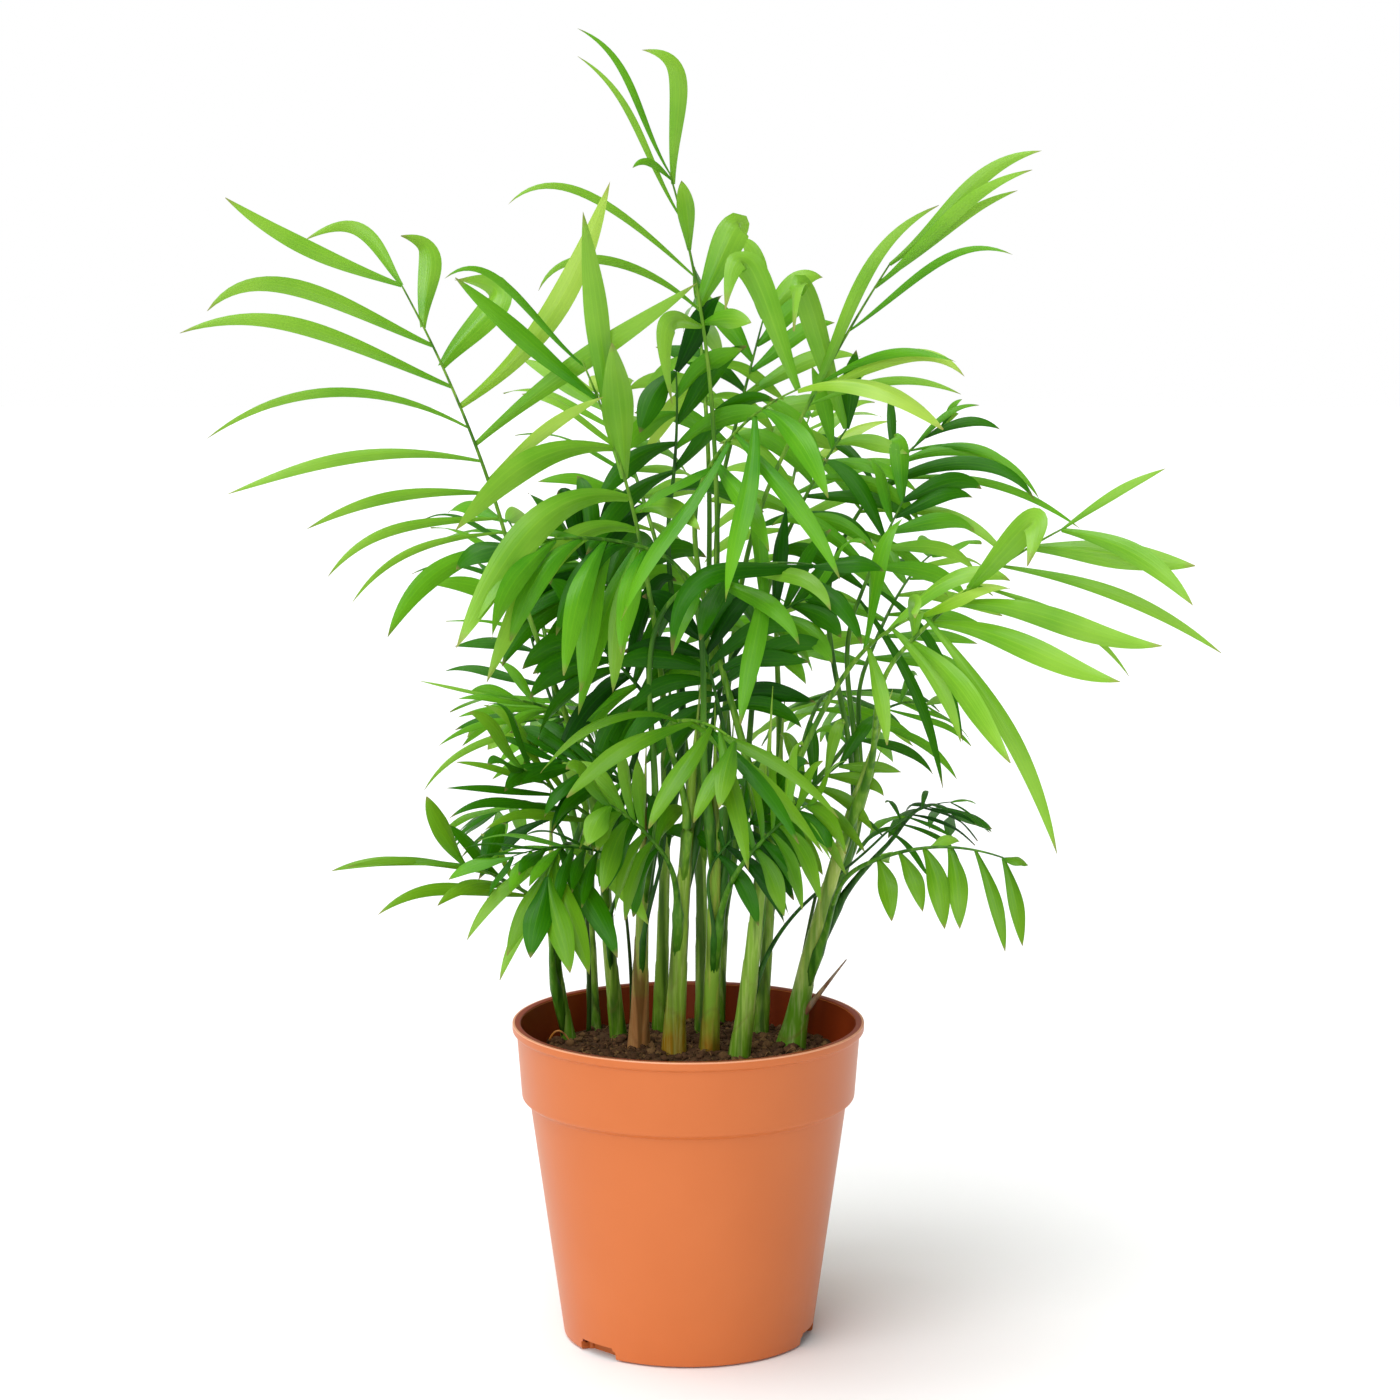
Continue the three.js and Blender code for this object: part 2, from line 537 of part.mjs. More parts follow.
function stalkSolid(frond, spine, extra) {
  const radii = STALK_STATIONS.map((t) => lerp(STALK_R[0], STALK_R[1], Math.min(1, t * 2)) + extra);
  return toSolid(bentRod(spine, STALK_STATIONS, radii, STALK_SIDES, acrossOf(frond)));
}

function coreSolid(frond, spine, extra) {
  const radii = CORE_STATIONS.map((t) => lerp(STALK_R[1], CORE_R, t * 2 - 1) + extra);
  return toSolid(bentRod(spine, CORE_STATIONS, radii, STALK_SIDES, acrossOf(frond)));
}

// Every stalk and midrib stays whole; where two blades cross, the later one is cut.
function frondSolids(stems) {
  const parts = Object.entries(FRONDS).map(([name, frond]) => {
    const spine = spineOf(frond);
    return {
      name,
      blade: wholeBlade(frond, spine.midrib, 0),
      stalk: stalkSolid(frond, spine, 0),
      core: coreSolid(frond, spine, 0),
      bladeRoom: wholeBlade(frond, spine.midrib, GAP),
      spineRoom: stalkSolid(frond, spine, GAP).add(coreSolid(frond, spine, GAP)),
    };
  });
  const stemRoom = Object.values(stems).reduce((all, stem) => all.add(stem));
  return parts.map((part, i) => {
    let wings = part.blade;
    for (const earlier of parts.slice(0, i)) {
      wings = wings.subtract(earlier.bladeRoom.subtract(part.core));
    }
    let frond = part.stalk.add(wings);
    for (const other of parts) {
      if (other !== part) {
        frond = frond.subtract(other.spineRoom);
      }
    }
    frond = largestPiece(frond.subtract(stemRoom)).simplify(FINEST);
    return { name: part.name, solid: frond };
  });
}

// ------------------------------------------------------------------------------------- the palm
const palm = new THREE.Group();
palm.name = 'cat_palm';

function addNode(name, solid, colour, roughness) {
  const mesh = new THREE.Mesh(toGeometry(solid), material(colour, roughness));
  mesh.name = name;
  palm.add(mesh);
}

addNode('pot', potSolid(), POT_COLOUR, 0.5);
addNode('compost', soilSolid(0), SOIL_COLOUR, 0.95);

const soilRoom = soilSolid(GAP);
const stemRooms = {};
for (const [name, stem] of Object.entries(STEMS)) {
  stemRooms[name] = stemSolid(stem, GAP);
  addNode(`stem_${name}`, stemSolid(stem, 0).subtract(soilRoom), STEM_COLOUR, 0.6);
}
for (const { name, solid } of frondSolids(stemRooms)) {
  addNode(`frond_${name}`, solid, FROND_COLOUR, 0.5);
}

export default palm;
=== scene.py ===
# %% [markdown]
# # A young cat palm in its nursery pot
# The real plant is a dozen seedlings that came up together in one plastic pot. Each seedling is a
# thin stem wrapped in leaf sheaths, and each frond is a stalk with narrow leaflets down both
# sides. The solid model already fixes every size, so this lesson only gives each solid its look:
# the plain blades become ribs with leaflets, the plain rods become sheathed stems. The first cell
# loads that model.

# %% Load the frame
import math
import bmesh
import bpy
import numpy as np
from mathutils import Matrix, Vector, noise


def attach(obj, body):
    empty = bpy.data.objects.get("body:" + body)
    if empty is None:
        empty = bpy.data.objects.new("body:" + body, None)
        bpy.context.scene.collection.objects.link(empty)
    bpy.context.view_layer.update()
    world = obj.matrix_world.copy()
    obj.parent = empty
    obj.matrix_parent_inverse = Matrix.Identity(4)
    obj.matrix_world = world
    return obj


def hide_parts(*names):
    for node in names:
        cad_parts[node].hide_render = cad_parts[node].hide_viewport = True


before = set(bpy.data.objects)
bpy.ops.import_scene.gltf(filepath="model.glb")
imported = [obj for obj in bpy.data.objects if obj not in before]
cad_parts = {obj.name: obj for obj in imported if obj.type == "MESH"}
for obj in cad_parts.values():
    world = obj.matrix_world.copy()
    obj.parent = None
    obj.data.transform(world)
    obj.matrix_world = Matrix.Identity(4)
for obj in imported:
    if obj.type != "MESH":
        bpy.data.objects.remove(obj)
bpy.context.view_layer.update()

MM = 0.001


# %% [markdown]
# ## Five small tools
# A colour picker shows sRGB values, but a shader works in linear light, so one function turns a
# hex colour to linear. One function adds a node with its settings and links, whatever its kind.
# One makes numbers that look random but are the same on every run, so the plant never changes
# from one render to the next. One starts a material: it sets how rough and how glossy the surface
# is. The last gives the scale of a noise pattern, which counts spots in a metre, from the size of
# one spot in millimetres.

# %% Colour, node, wobble, material and scale
WOBBLE_STEPS = (12.9898, 78.233)
WOBBLE_GAIN = 43758.5453


def linear(hex_colour):
    """The sRGB curve is a straight line near black, and a power above it."""
    channels = [int(hex_colour[i:i + 2], 16) / 255 for i in (1, 3, 5)]
    return [c / 12.92 if c <= 0.04045 else ((c + 0.055) / 1.055) ** 2.4 for c in channels] + [1.0]


def add_node(tree, kind, settings=None, links=None):
    node = tree.nodes.new(kind)
    for name, value in (settings or {}).items():
        if isinstance(name, int) or name in node.inputs:
            node.inputs[name].default_value = value
        else:
            setattr(node, name, value)
    for name, socket in (links or {}).items():
        tree.links.new(socket, node.inputs[name])
    return node


def wobble(seed, index):
    """A repeatable number from -1 to 1. Its odd steps make neighbours look unrelated."""
    value = math.sin(seed * WOBBLE_STEPS[0] + index * WOBBLE_STEPS[1]) * WOBBLE_GAIN
    return 2 * (value - math.floor(value)) - 1


def start_material(name, roughness, gloss, ior=1.5):
    """A new material, its node tree, its shader and its texture coordinates."""
    material = bpy.data.materials.new(name)
    material.use_nodes = True
    tree = material.node_tree
    shader = tree.nodes["Principled BSDF"]
    shader.inputs["Roughness"].default_value = roughness
    shader.inputs["Specular IOR Level"].default_value = gloss
    shader.inputs["IOR"].default_value = ior
    return material, tree, shader, add_node(tree, "ShaderNodeTexCoord")


def spots_per_metre(size_mm):
    return 1 / (size_mm * MM)


print("orange in linear light:", [round(c, 3) for c in linear("#e2824f")])


# %% [markdown]
# ## Camera
# A plant portrait is taken from a little above the rim, so that the compost shows, and from well
# back, so that near and far fronds keep their true sizes. That is a long lens at 1.3 metres.

# %% Set up the camera
CAMERA_PLACE = (4 * MM, -1300 * MM, 422 * MM)
CAMERA_DOWN = 8.83
SENSOR = 36
FOCAL = 100.4

camera_data = bpy.data.cameras.new("portrait_camera")
camera_data.sensor_width = SENSOR
camera_data.lens = FOCAL
camera = bpy.data.objects.new("portrait_camera", camera_data)
bpy.context.scene.collection.objects.link(camera)
camera.location = CAMERA_PLACE
camera.rotation_euler = (math.radians(90 - CAMERA_DOWN), 0, 0)
bpy.context.scene.camera = camera
print("field of view in degrees:", round(math.degrees(2 * math.atan(SENSOR / 2 / FOCAL)), 1))


# %% [markdown]
# ## Light and background
# A plant portrait is lit like a product: a broad soft light from the left front, one from above,
# and a white room. Two suns with wide discs do this, because a sun lights the whole floor
# evenly, so it stays white to its far edge. The room is seen as pure white, but it lights the plant
# more weakly than it looks. So the inside of the plant and the pot stay dark, and the leaflets on
# the outside stand out. A mix by the kind of ray does that in the world's shader.

# %% Studio
WHITE = (1, 1, 1, 1)
ROOM_LIGHT = 0.33
ROOM_SEEN = 1.0
SUNS = {
    "key_light": {"towards": (-0.5, -1.0, 0.8), "strength": 2.25, "disc": 58},
    "top_light": {"towards": (-0.25, 0.1, 1.0), "strength": 1.9, "disc": 45},
}

for name, sun in SUNS.items():
    data = bpy.data.lights.new(name, "SUN")
    data.energy = sun["strength"]
    data.angle = math.radians(sun["disc"])
    light = bpy.data.objects.new(name, data)
    light.rotation_euler = Vector(sun["towards"]).to_track_quat("Z", "Y").to_euler()
    bpy.context.scene.collection.objects.link(light)

world = bpy.data.worlds.new("white_room")
bpy.context.scene.world = world
world.use_nodes = True
room = world.node_tree
room_light = room.nodes["Background"]
room_light.inputs["Color"].default_value = WHITE
room_light.inputs["Strength"].default_value = ROOM_LIGHT
backdrop = add_node(room, "ShaderNodeBackground", {"Color": WHITE, "Strength": ROOM_SEEN})
ray = add_node(room, "ShaderNodeLightPath")
seen = add_node(room, "ShaderNodeMixShader", {},
                {0: ray.outputs["Is Camera Ray"], 1: room_light.outputs[0], 2: backdrop.outputs[0]})
room.links.new(seen.outputs[0], room.nodes["World Output"].inputs["Surface"])
bpy.context.scene.view_settings.view_transform = "Standard"

# %% [markdown]
# ### Floor
# The pot stands on a sheet of white paper, so wide that its edges are never seen. Paper has almost
# no gloss, so all that it shows of the plant is a soft shadow. It belongs to the studio, not to
# the plant.

# %% Floor
PAPER_WHITE = "#fbfbfb"
FLOOR_HALF = 4.0

floor_material = bpy.data.materials.new("white_paper_floor")
floor_material.use_nodes = True
floor_shader = floor_material.node_tree.nodes["Principled BSDF"]
floor_shader.inputs["Base Color"].default_value = linear(PAPER_WHITE)
floor_shader.inputs["Roughness"].default_value = 0.9
floor_shader.inputs["Specular IOR Level"].default_value = 0.1

floor_mesh = bpy.data.meshes.new("floor")
corners = [(-1, -1), (1, -1), (1, 1), (-1, 1)]
floor_mesh.from_pydata([(x * FLOOR_HALF, y * FLOOR_HALF, 0) for x, y in corners], [], [(0, 1, 2, 3)])
floor = bpy.data.objects.new("floor", floor_mesh)
bpy.context.scene.collection.objects.link(floor)
floor_mesh.materials.append(floor_material)
print("floor is", 2 * FLOOR_HALF, "metres wide")


# %% [markdown]
# ## Building with rings
# Most of the plant is tubes and strips. Both are grids of points: rows along the piece and
# columns across it. One collector gathers many such grids into a single mesh, which keeps
# hundreds of leaflets as one light object. When it builds that mesh, it also says which
# body the piece rides on, whose finish it takes and which solids it replaces.

# %% Collect grids into one mesh
TUBE_END = 0.02


class Collector:
    """Gathers grids of points, in millimetres, into one mesh."""

    def __init__(self):
        self.points = []
        self.faces = []
        self.uvs = []
        self.count = 0

    def grid(self, rows, closed=False, uv=None):
        """rows is an array of rows x columns x 3. closed joins the last column to the first."""
        height, width = rows.shape[:2]
        index = np.arange(height * width).reshape(height, width) + self.count
        right = np.roll(index, -1, axis=1) if closed else index[:, 1:]
        left = index if closed else index[:, :-1]
        quads = np.stack([left[:-1], right[:-1], right[1:], left[1:]], axis=-1).reshape(-1, 4)
        self.points.append(rows.reshape(-1, 3))
        self.faces.append(quads)
        self.uvs.append(np.zeros((height * width, 2)) if uv is None else uv.reshape(-1, 2))
        self.count += height * width

    def tube(self, rows, uv=None):
        """A closed tube, with its two ends drawn in to a point."""
        start = np.repeat(rows[:1].mean(axis=1, keepdims=True), rows.shape[1], axis=1)
        end = np.repeat(rows[-1:].mean(axis=1, keepdims=True), rows.shape[1], axis=1)
        near = start + (rows[:1] - start) * TUBE_END
        far = end + (rows[-1:] - end) * TUBE_END
        if uv is not None:
            uv = np.concatenate([uv[:1], uv, uv[-1:]])
        self.grid(np.concatenate([near, rows, far]), closed=True, uv=uv)

    def build(self, name, materials, slot, nodes):
        mesh = bpy.data.meshes.new(name)
        points = np.concatenate(self.points) * MM
        faces = np.concatenate(self.faces)
        mesh.from_pydata(points.tolist(), [], faces.tolist())
        layer = mesh.uv_layers.new(name="UVMap")
        uv = np.concatenate(self.uvs)
        layer.data.foreach_set("uv", uv[faces.reshape(-1)].reshape(-1))
        mesh.polygons.foreach_set("use_smooth", [True] * len(mesh.polygons))
        for material in materials:
            mesh.materials.append(material)
        piece = bpy.data.objects.new(name, mesh)
        bpy.context.scene.collection.objects.link(piece)
        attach(piece, "root")
        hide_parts(*nodes)
        print(name, "has", 2 * len(faces), "triangles")
        return piece


def cross_frame(tangent, hint):
    """Two directions square to the tangent: the one nearest the hint, and the one beside it."""
    normal = hint - tangent * hint.dot(tangent)
    normal.normalize()
    return normal, tangent.cross(normal)


straight_up = Vector((0, 0, 1))
print("a frame across a straight stem:", cross_frame(straight_up, Vector((1, 0, 0))))


# %% [markdown]
# ## Pot
# The pot is injection moulded polypropylene. It is turned from one profile: a flat foot, a
# tapering wall, a wider collar and a small rolled lip. Every outer corner is rounded, because a
# mould can't hold a razor edge, and those roundings catch the thin lines of light.

# %% Pot profile, in millimetres
POT_SEGMENTS = 192
POT_HEIGHT = 109.5
RIM_R = 60
LIP_HEIGHT = 3.0
LIP_SLOPE = 0.3
LIP_STEP = 0.5
COLLAR_TOP_R = 58.5
COLLAR_FOOT_R = 56.8
COLLAR_FOOT_Z = 83.8
WALL_TOP_R = 54.1
WALL_TOP_Z = 82.0
BASE_R = 42.8
BASE_EDGE = 4
BASE_EDGE_Z = 0.6
WALL = 1.4
FLOOR_THICKNESS = 2.4
LIP_GLOW = 0.45
LIP_GLOW_WIDTH = 0.9
CORNER_R = 0.7
CORNER_STEPS = 5
LONGEST_ROUNDING = 0.45


def rounded(corners, radius):
    """Walks a profile and turns each inner corner (r, z) into a small arc."""
    path = [Vector(corners[0])]
    for before, corner, after in zip(corners, corners[1:], corners[2:]):
        corner = Vector(corner)
        to_before = Vector(before) - corner
        to_after = Vector(after) - corner
        reach = min(radius, to_before.length * LONGEST_ROUNDING, to_after.length * LONGEST_ROUNDING)
        first = corner + to_before.normalized() * reach
        last = corner + to_after.normalized() * reach
        for i in range(CORNER_STEPS + 1):
            t = i / CORNER_STEPS
            path.append(first * (1 - t) ** 2 + corner * (2 * t * (1 - t)) + last * t ** 2)
    path.append(Vector(corners[-1]))
    return path


lip_foot = POT_HEIGHT - LIP_HEIGHT
pot_corners = [
    (0, 0), (BASE_R - BASE_EDGE, 0), (BASE_R, BASE_EDGE_Z),
    (WALL_TOP_R, WALL_TOP_Z), (COLLAR_FOOT_R, COLLAR_FOOT_Z),
    (COLLAR_TOP_R, lip_foot - LIP_STEP), (RIM_R, lip_foot + LIP_SLOPE), (RIM_R, POT_HEIGHT),
    (RIM_R - LIP_GLOW_WIDTH, POT_HEIGHT), (COLLAR_TOP_R - WALL, POT_HEIGHT),
    (COLLAR_FOOT_R - WALL, COLLAR_FOOT_Z), (WALL_TOP_R - WALL, WALL_TOP_Z),
    (BASE_R - WALL, FLOOR_THICKNESS), (0, FLOOR_THICKNESS),
]
pot_profile = rounded(pot_corners, CORNER_R)
print("pot profile has", len(pot_profile), "points")

# %% [markdown]
# ### Turning the pot and cutting its notches
# A lathe sweeps the profile round the pot's axis. Water drains through low notches where the wall
# meets the foot. A boolean cuts each of them with a box, which is quicker and cleaner than
# modelling the hole into the rings, and the box is bevelled first, so the notch gets the soft
# corners of a mould. The boxes are removed again.

# %% Pot mesh with drain notches
NOTCH_ANGLES = (-136, -16, 104)
NOTCH_WIDTH = 17
NOTCH_HEIGHT = 4.6
NOTCH_DEPTH = 5.5
NOTCH_ROUNDING = 1.2
NOTCH_STEPS = 3
AXIS_GAP = 0.02
SHARP_ANGLE = 50


def lathe(profile, segments):
    angles = np.linspace(0, 2 * math.pi, segments, endpoint=False)
    rows = [[(r * math.cos(a), r * math.sin(a), z) for a in angles] for r, z in profile]
    return np.array(rows)


def box_piece(name, size, place, angle):
    """A plain cutter, used up by the boolean and then removed."""
    mesh = bpy.data.meshes.new(name)
    shape = bmesh.new()
    bmesh.ops.create_cube(shape, size=1)
    bmesh.ops.scale(shape, vec=size, verts=shape.verts)
    bmesh.ops.translate(shape, vec=place, verts=shape.verts)
    bmesh.ops.bevel(shape, geom=shape.edges[:], offset=NOTCH_ROUNDING * MM, segments=NOTCH_STEPS,
                    affect="EDGES")
    shape.to_mesh(mesh)
    shape.free()
    piece = bpy.data.objects.new(name, mesh)
    piece.rotation_euler = (0, 0, math.radians(angle))
    bpy.context.scene.collection.objects.link(piece)
    return piece


pot_parts = Collector()
outline = [(max(r, AXIS_GAP), z) for r, z in pot_profile]
pot_parts.grid(lathe(outline, POT_SEGMENTS), closed=True)
pot = pot_parts.build("nursery_pot", [], "pot", ["pot"])
notch_size = Vector((2 * NOTCH_DEPTH, NOTCH_WIDTH, 2 * NOTCH_HEIGHT)) * MM
for angle in NOTCH_ANGLES:
    cutter = box_piece("notch_cutter", notch_size, Vector((BASE_R, 0, 0)) * MM, angle)
    cut = pot.modifiers.new("notch", "BOOLEAN")
    cut.object = cutter
    cut.operation = "DIFFERENCE"
    bpy.context.view_layer.update()
    depsgraph = bpy.context.evaluated_depsgraph_get()
    cut_mesh = bpy.data.meshes.new_from_object(pot.evaluated_get(depsgraph))
    pot.modifiers.clear()
    pot.data = cut_mesh
    bpy.data.objects.remove(cutter)
pot.data.polygons.foreach_set("use_smooth", [True] * len(pot.data.polygons))
pot.data.set_sharp_from_angle(angle=math.radians(SHARP_ANGLE))
print("pot faces after the notches:", len(pot.data.polygons))


# %% [markdown]
# ### Moulded polypropylene
# Polypropylene is slightly milky, and the mould leaves a very fine satin grain. The grain is too
# fine to see at this distance, so it is drawn about four times coarser than real, at half a
# millimetre. The outside is warm orange with faint clouds. The inside is darker and redder. This is
# painted shade, since little light reaches into the pot, and painted red light bounced off its
# walls. The thin lip is paler, as a painted highlight where light catches it and shines through.
# Each face takes one of these three finishes by where it lies.

# %% Pot material
CLOUD_SIZE = 33.3
GRAIN_SIZE = 0.5
GRAIN_DEPTH = 0.1
SHADED_INSIDE = 1
PAINTED_HIGHLIGHT_LIP = 2


def moulded_polypropylene(name, face_hex, cloud_hex):
    material, tree, shader, place = start_material(name, roughness=0.38, gloss=0.38, ior=1.49)
    cloud = add_node(tree, "ShaderNodeTexNoise", {"Scale": spots_per_metre(CLOUD_SIZE), "Detail": 3},
                     {"Vector": place.outputs["Object"]})
    tint = add_node(tree, "ShaderNodeMix",
                    {"data_type": "RGBA", 6: linear(face_hex), 7: linear(cloud_hex)},
                    {0: cloud.outputs["Fac"]})
    grain = add_node(tree, "ShaderNodeTexNoise", {"Scale": spots_per_metre(GRAIN_SIZE), "Detail": 2},
                     {"Vector": place.outputs["Object"]})
    bump = add_node(tree, "ShaderNodeBump", {"Strength": 0.12, "Distance": GRAIN_DEPTH * MM},
                    {"Height": grain.outputs["Fac"]})
    tree.links.new(tint.outputs[2], shader.inputs["Base Color"])
    tree.links.new(bump.outputs["Normal"], shader.inputs["Normal"])
    return material


pot.data.materials.clear()
pot.data.materials.append(moulded_polypropylene("moulded_polypropylene", "#c4672f", "#cd7038"))
pot.data.materials.append(
    moulded_polypropylene("shaded_inside_of_polypropylene", "#862c0a", "#9a3a12"))
pot.data.materials.append(moulded_polypropylene("painted_highlight_lip_of_polypropylene", "#e0946c", "#eaac88"))
for face in pot.data.polygons:
    height = face.center.z / MM
    faces_axis = face.normal.x * face.center.x + face.normal.y * face.center.y < 0
    # Faces that look towards the axis take the painted shade of the inside.
    if faces_axis and FLOOR_THICKNESS < height < POT_HEIGHT - LIP_HEIGHT:
        face.material_index = SHADED_INSIDE
    # The outer part of the lip's top takes the painted highlight, and its inner half takes the painted
    # shade.
    elif height > POT_HEIGHT - LIP_GLOW:
        reach = math.hypot(face.center.x, face.center.y) / MM
        face.material_index = PAINTED_HIGHLIGHT_LIP if reach > RIM_R - LIP_GLOW_WIDTH else SHADED_INSIDE
print("pot materials:", [material.name for material in pot.data.materials])


# %% [markdown]
# ## Compost
# Peat compost is crumbs and fibres on an uneven crust, not a smooth disc. The crust is a grid of
# points pushed up and down by two noises, a slow one and a quick one. It could be sculpted, but
# noise gives the same crust on every run.

# %% Crust of the compost
SOIL_R = 56.1
SOIL_EDGE_Z = 96.5
SOIL_DOME = 4
CRUST_ROUGHNESS = 1.5
SLOW_SEED = 3
QUICK_SEED = 8
CRUST_SUNK = 0.8
SLOW_BUMPS = 0.09
QUICK_BUMPS = 0.35
QUICK_SHARE = 0.6
CRUST_MIDDLE = 0.05
CRUST_RINGS = 70
CRUST_TURNS = 160


def soil_height(x, y):
    share = min(1, math.hypot(x, y) / SOIL_R)
    return SOIL_EDGE_Z + SOIL_DOME * (1 - share * share)


def crust_height(x, y):
    slow = noise.noise((x * SLOW_BUMPS, y * SLOW_BUMPS, SLOW_SEED))
    quick = noise.noise((x * QUICK_BUMPS, y * QUICK_BUMPS, QUICK_SEED))
    return soil_height(x, y) + CRUST_ROUGHNESS * (slow + QUICK_SHARE * quick) - CRUST_SUNK


def crust_point(r, angle):
    x, y = r * math.cos(angle), r * math.sin(angle)
    return x, y, crust_height(x, y)


crust = Collector()
radii = np.linspace(SOIL_R, CRUST_MIDDLE, CRUST_RINGS)
turns = np.linspace(0, 2 * math.pi, CRUST_TURNS, endpoint=False)
crust.grid(np.array([[crust_point(r, a) for a in turns] for r in radii]), closed=True)
print("crust rings:", len(radii))

# %% [markdown]
# ### Crumbs and fibres
# The crumbs are small uneven lumps, most of them tiny and a few large. Every fourth one goes on a
# pile of its own, because crumbs that dried on top are paler. Short curled fibres lie between them.
# Both are scattered evenly over the disc: the square root keeps them from crowding at the middle.

# %% Crumbs and fibres
CRUMBS = 1500
DRY_EVERY = 4
CRUMB_SIZE = (0.5, 1.9)
CRUMB_SPREAD = 0.965
CRUMB_LIFT = 0.25
CRUMB_SEED = 11
LUMP_RINGS = 6
LUMP_SIDES = 7
LUMP_UNEVEN = 0.35
LUMP_FLATNESS = 0.8
FIBRES = 90
FIBRE_SPREAD = 0.85
FIBRE_LENGTH = (3, 7)
FIBRE_CURL = 1.6
FIBRE_RISE = 0.9
FIBRE_LIFT = 0.3
FIBRE_R = 0.16
FIBRE_STEPS = 6
FIBRE_TURNS = (0, 2.1, 4.2)  # three corners, in radians around the thread
FIBRE_SEED = 21


def lump(centre, size, seed):
    """One crumb: a small ball of six rings of seven points, each pushed in or out."""
    rows = []
    for i in range(LUMP_RINGS):
        height = -1 + 2 * i / (LUMP_RINGS - 1)
        ring = math.sqrt(max(AXIS_GAP, 1 - height * height))
        row = []
        for k in range(LUMP_SIDES):
            angle = 2 * math.pi * k / LUMP_SIDES
            push = size * (1 + LUMP_UNEVEN * wobble(seed, i * LUMP_SIDES + k))
            row.append((centre[0] + push * ring * math.cos(angle),
                        centre[1] + push * ring * math.sin(angle),
                        centre[2] + push * height * LUMP_FLATNESS))
        rows.append(row)
    return np.array(rows)


def fibre(start, heading, length, seed):
    """A thin three-sided thread that curls along the crust."""
    rows = []
    for i in range(FIBRE_STEPS + 1):
        t = i / FIBRE_STEPS
        bend = heading + FIBRE_CURL * wobble(seed, 1) * t
        x = start[0] + length * t * math.cos(bend)
        y = start[1] + length * t * math.sin(bend)
        z = crust_height(x, y) + FIBRE_RISE * math.sin(math.pi * t) + FIBRE_LIFT
        rows.append([(x + FIBRE_R * math.cos(a), y + FIBRE_R * math.sin(a), z + FIBRE_R * math.sin(2 * a))
                     for a in FIBRE_TURNS])
    return np.array(rows)


def scattered(spread, seed, k):
    """Place k on the compost, out to a share of its radius."""
    reach = SOIL_R * spread * math.sqrt(0.5 + 0.5 * wobble(seed, k))
    turn = math.pi * wobble(seed + 1, k)
    return reach * math.cos(turn), reach * math.sin(turn)


crumbs = Collector()
dry_crumbs = Collector()
small, large = CRUMB_SIZE
for k in range(CRUMBS):
    x, y = scattered(CRUMB_SPREAD, CRUMB_SEED, k)
    size = small + (large - small) * (0.5 + 0.5 * wobble(CRUMB_SEED + 2, k)) ** 3
    pile = dry_crumbs if k % DRY_EVERY == 0 else crumbs
    pile.tube(lump((x, y, crust_height(x, y) + CRUMB_LIFT * size), size, k))
fibres = Collector()
short, long = FIBRE_LENGTH
for k in range(FIBRES):
    start = scattered(FIBRE_SPREAD, FIBRE_SEED, k)
    heading = math.pi * wobble(FIBRE_SEED + 2, k)
    length = short + (long - short) * abs(wobble(FIBRE_SEED + 3, k))
    fibres.tube(fibre(start, heading, length, k))
print("crumbs:", CRUMBS, "fibres:", FIBRES)


# %% [markdown]
# ### Peat
# Moist peat is dark brown and has no gloss. The colour drifts between nearly black and a warm
# brown over a few millimetres, and grit of about half a millimetre roughens it. Dried crumbs and
# fibres are the same stuff in paler browns.

# %% Compost material
GRIT_SIZE = 0.625
GRIT_DEPTH = 0.4


def moist_peat(name, dark_hex, light_hex, patch_size):
    material, tree, shader, place = start_material(name, roughness=0.95, gloss=0.2)
    patches = add_node(tree, "ShaderNodeTexNoise", {"Scale": spots_per_metre(patch_size), "Detail": 4},
                       {"Vector": place.outputs["Object"]})
    tint = add_node(tree, "ShaderNodeMix",
                    {"data_type": "RGBA", 6: linear(dark_hex), 7: linear(light_hex)},
                    {0: patches.outputs["Fac"]})
    grit = add_node(tree, "ShaderNodeTexNoise", {"Scale": spots_per_metre(GRIT_SIZE), "Detail": 3},
                    {"Vector": place.outputs["Object"]})
    bump = add_node(tree, "ShaderNodeBump", {"Strength": 0.6, "Distance": GRIT_DEPTH * MM},
                    {"Height": grit.outputs["Fac"]})
    tree.links.new(tint.outputs[2], shader.inputs["Base Color"])
    tree.links.new(bump.outputs["Normal"], shader.inputs["Normal"])
    return material


peat = moist_peat("moist_peat", "#20130b", "#6b4a30", 3.85)
dry_peat = moist_peat("drier_peat_crumbs", "#4a3420", "#86643f", 5)
dry_fibre = moist_peat("dry_peat_fibre", "#5a3c22", "#a47c50", 8.33)
crust.build("compost_crust", [peat], "compost", ["compost"])
crumbs.build("compost_crumbs", [peat], "compost", ["compost"])
dry_crumbs.build("compost_dry_crumbs", [dry_peat], "compost", ["compost"])
fibres.build("compost_fibres", [dry_fibre], "compost", ["compost"])


# %% [markdown]
# ## Stems
# A palm seedling's stem is mostly leaf sheaths, one inside the next. Each sheath ends in a slanted
# mouth, so the stem steps in a little at every mouth, and it is finely ribbed lengthwise. Each stem
# is described by its foot on the compost, its top, how far it bends sideways in between, and its
# radius at both ends. It swells at the foot and has its waist just above.

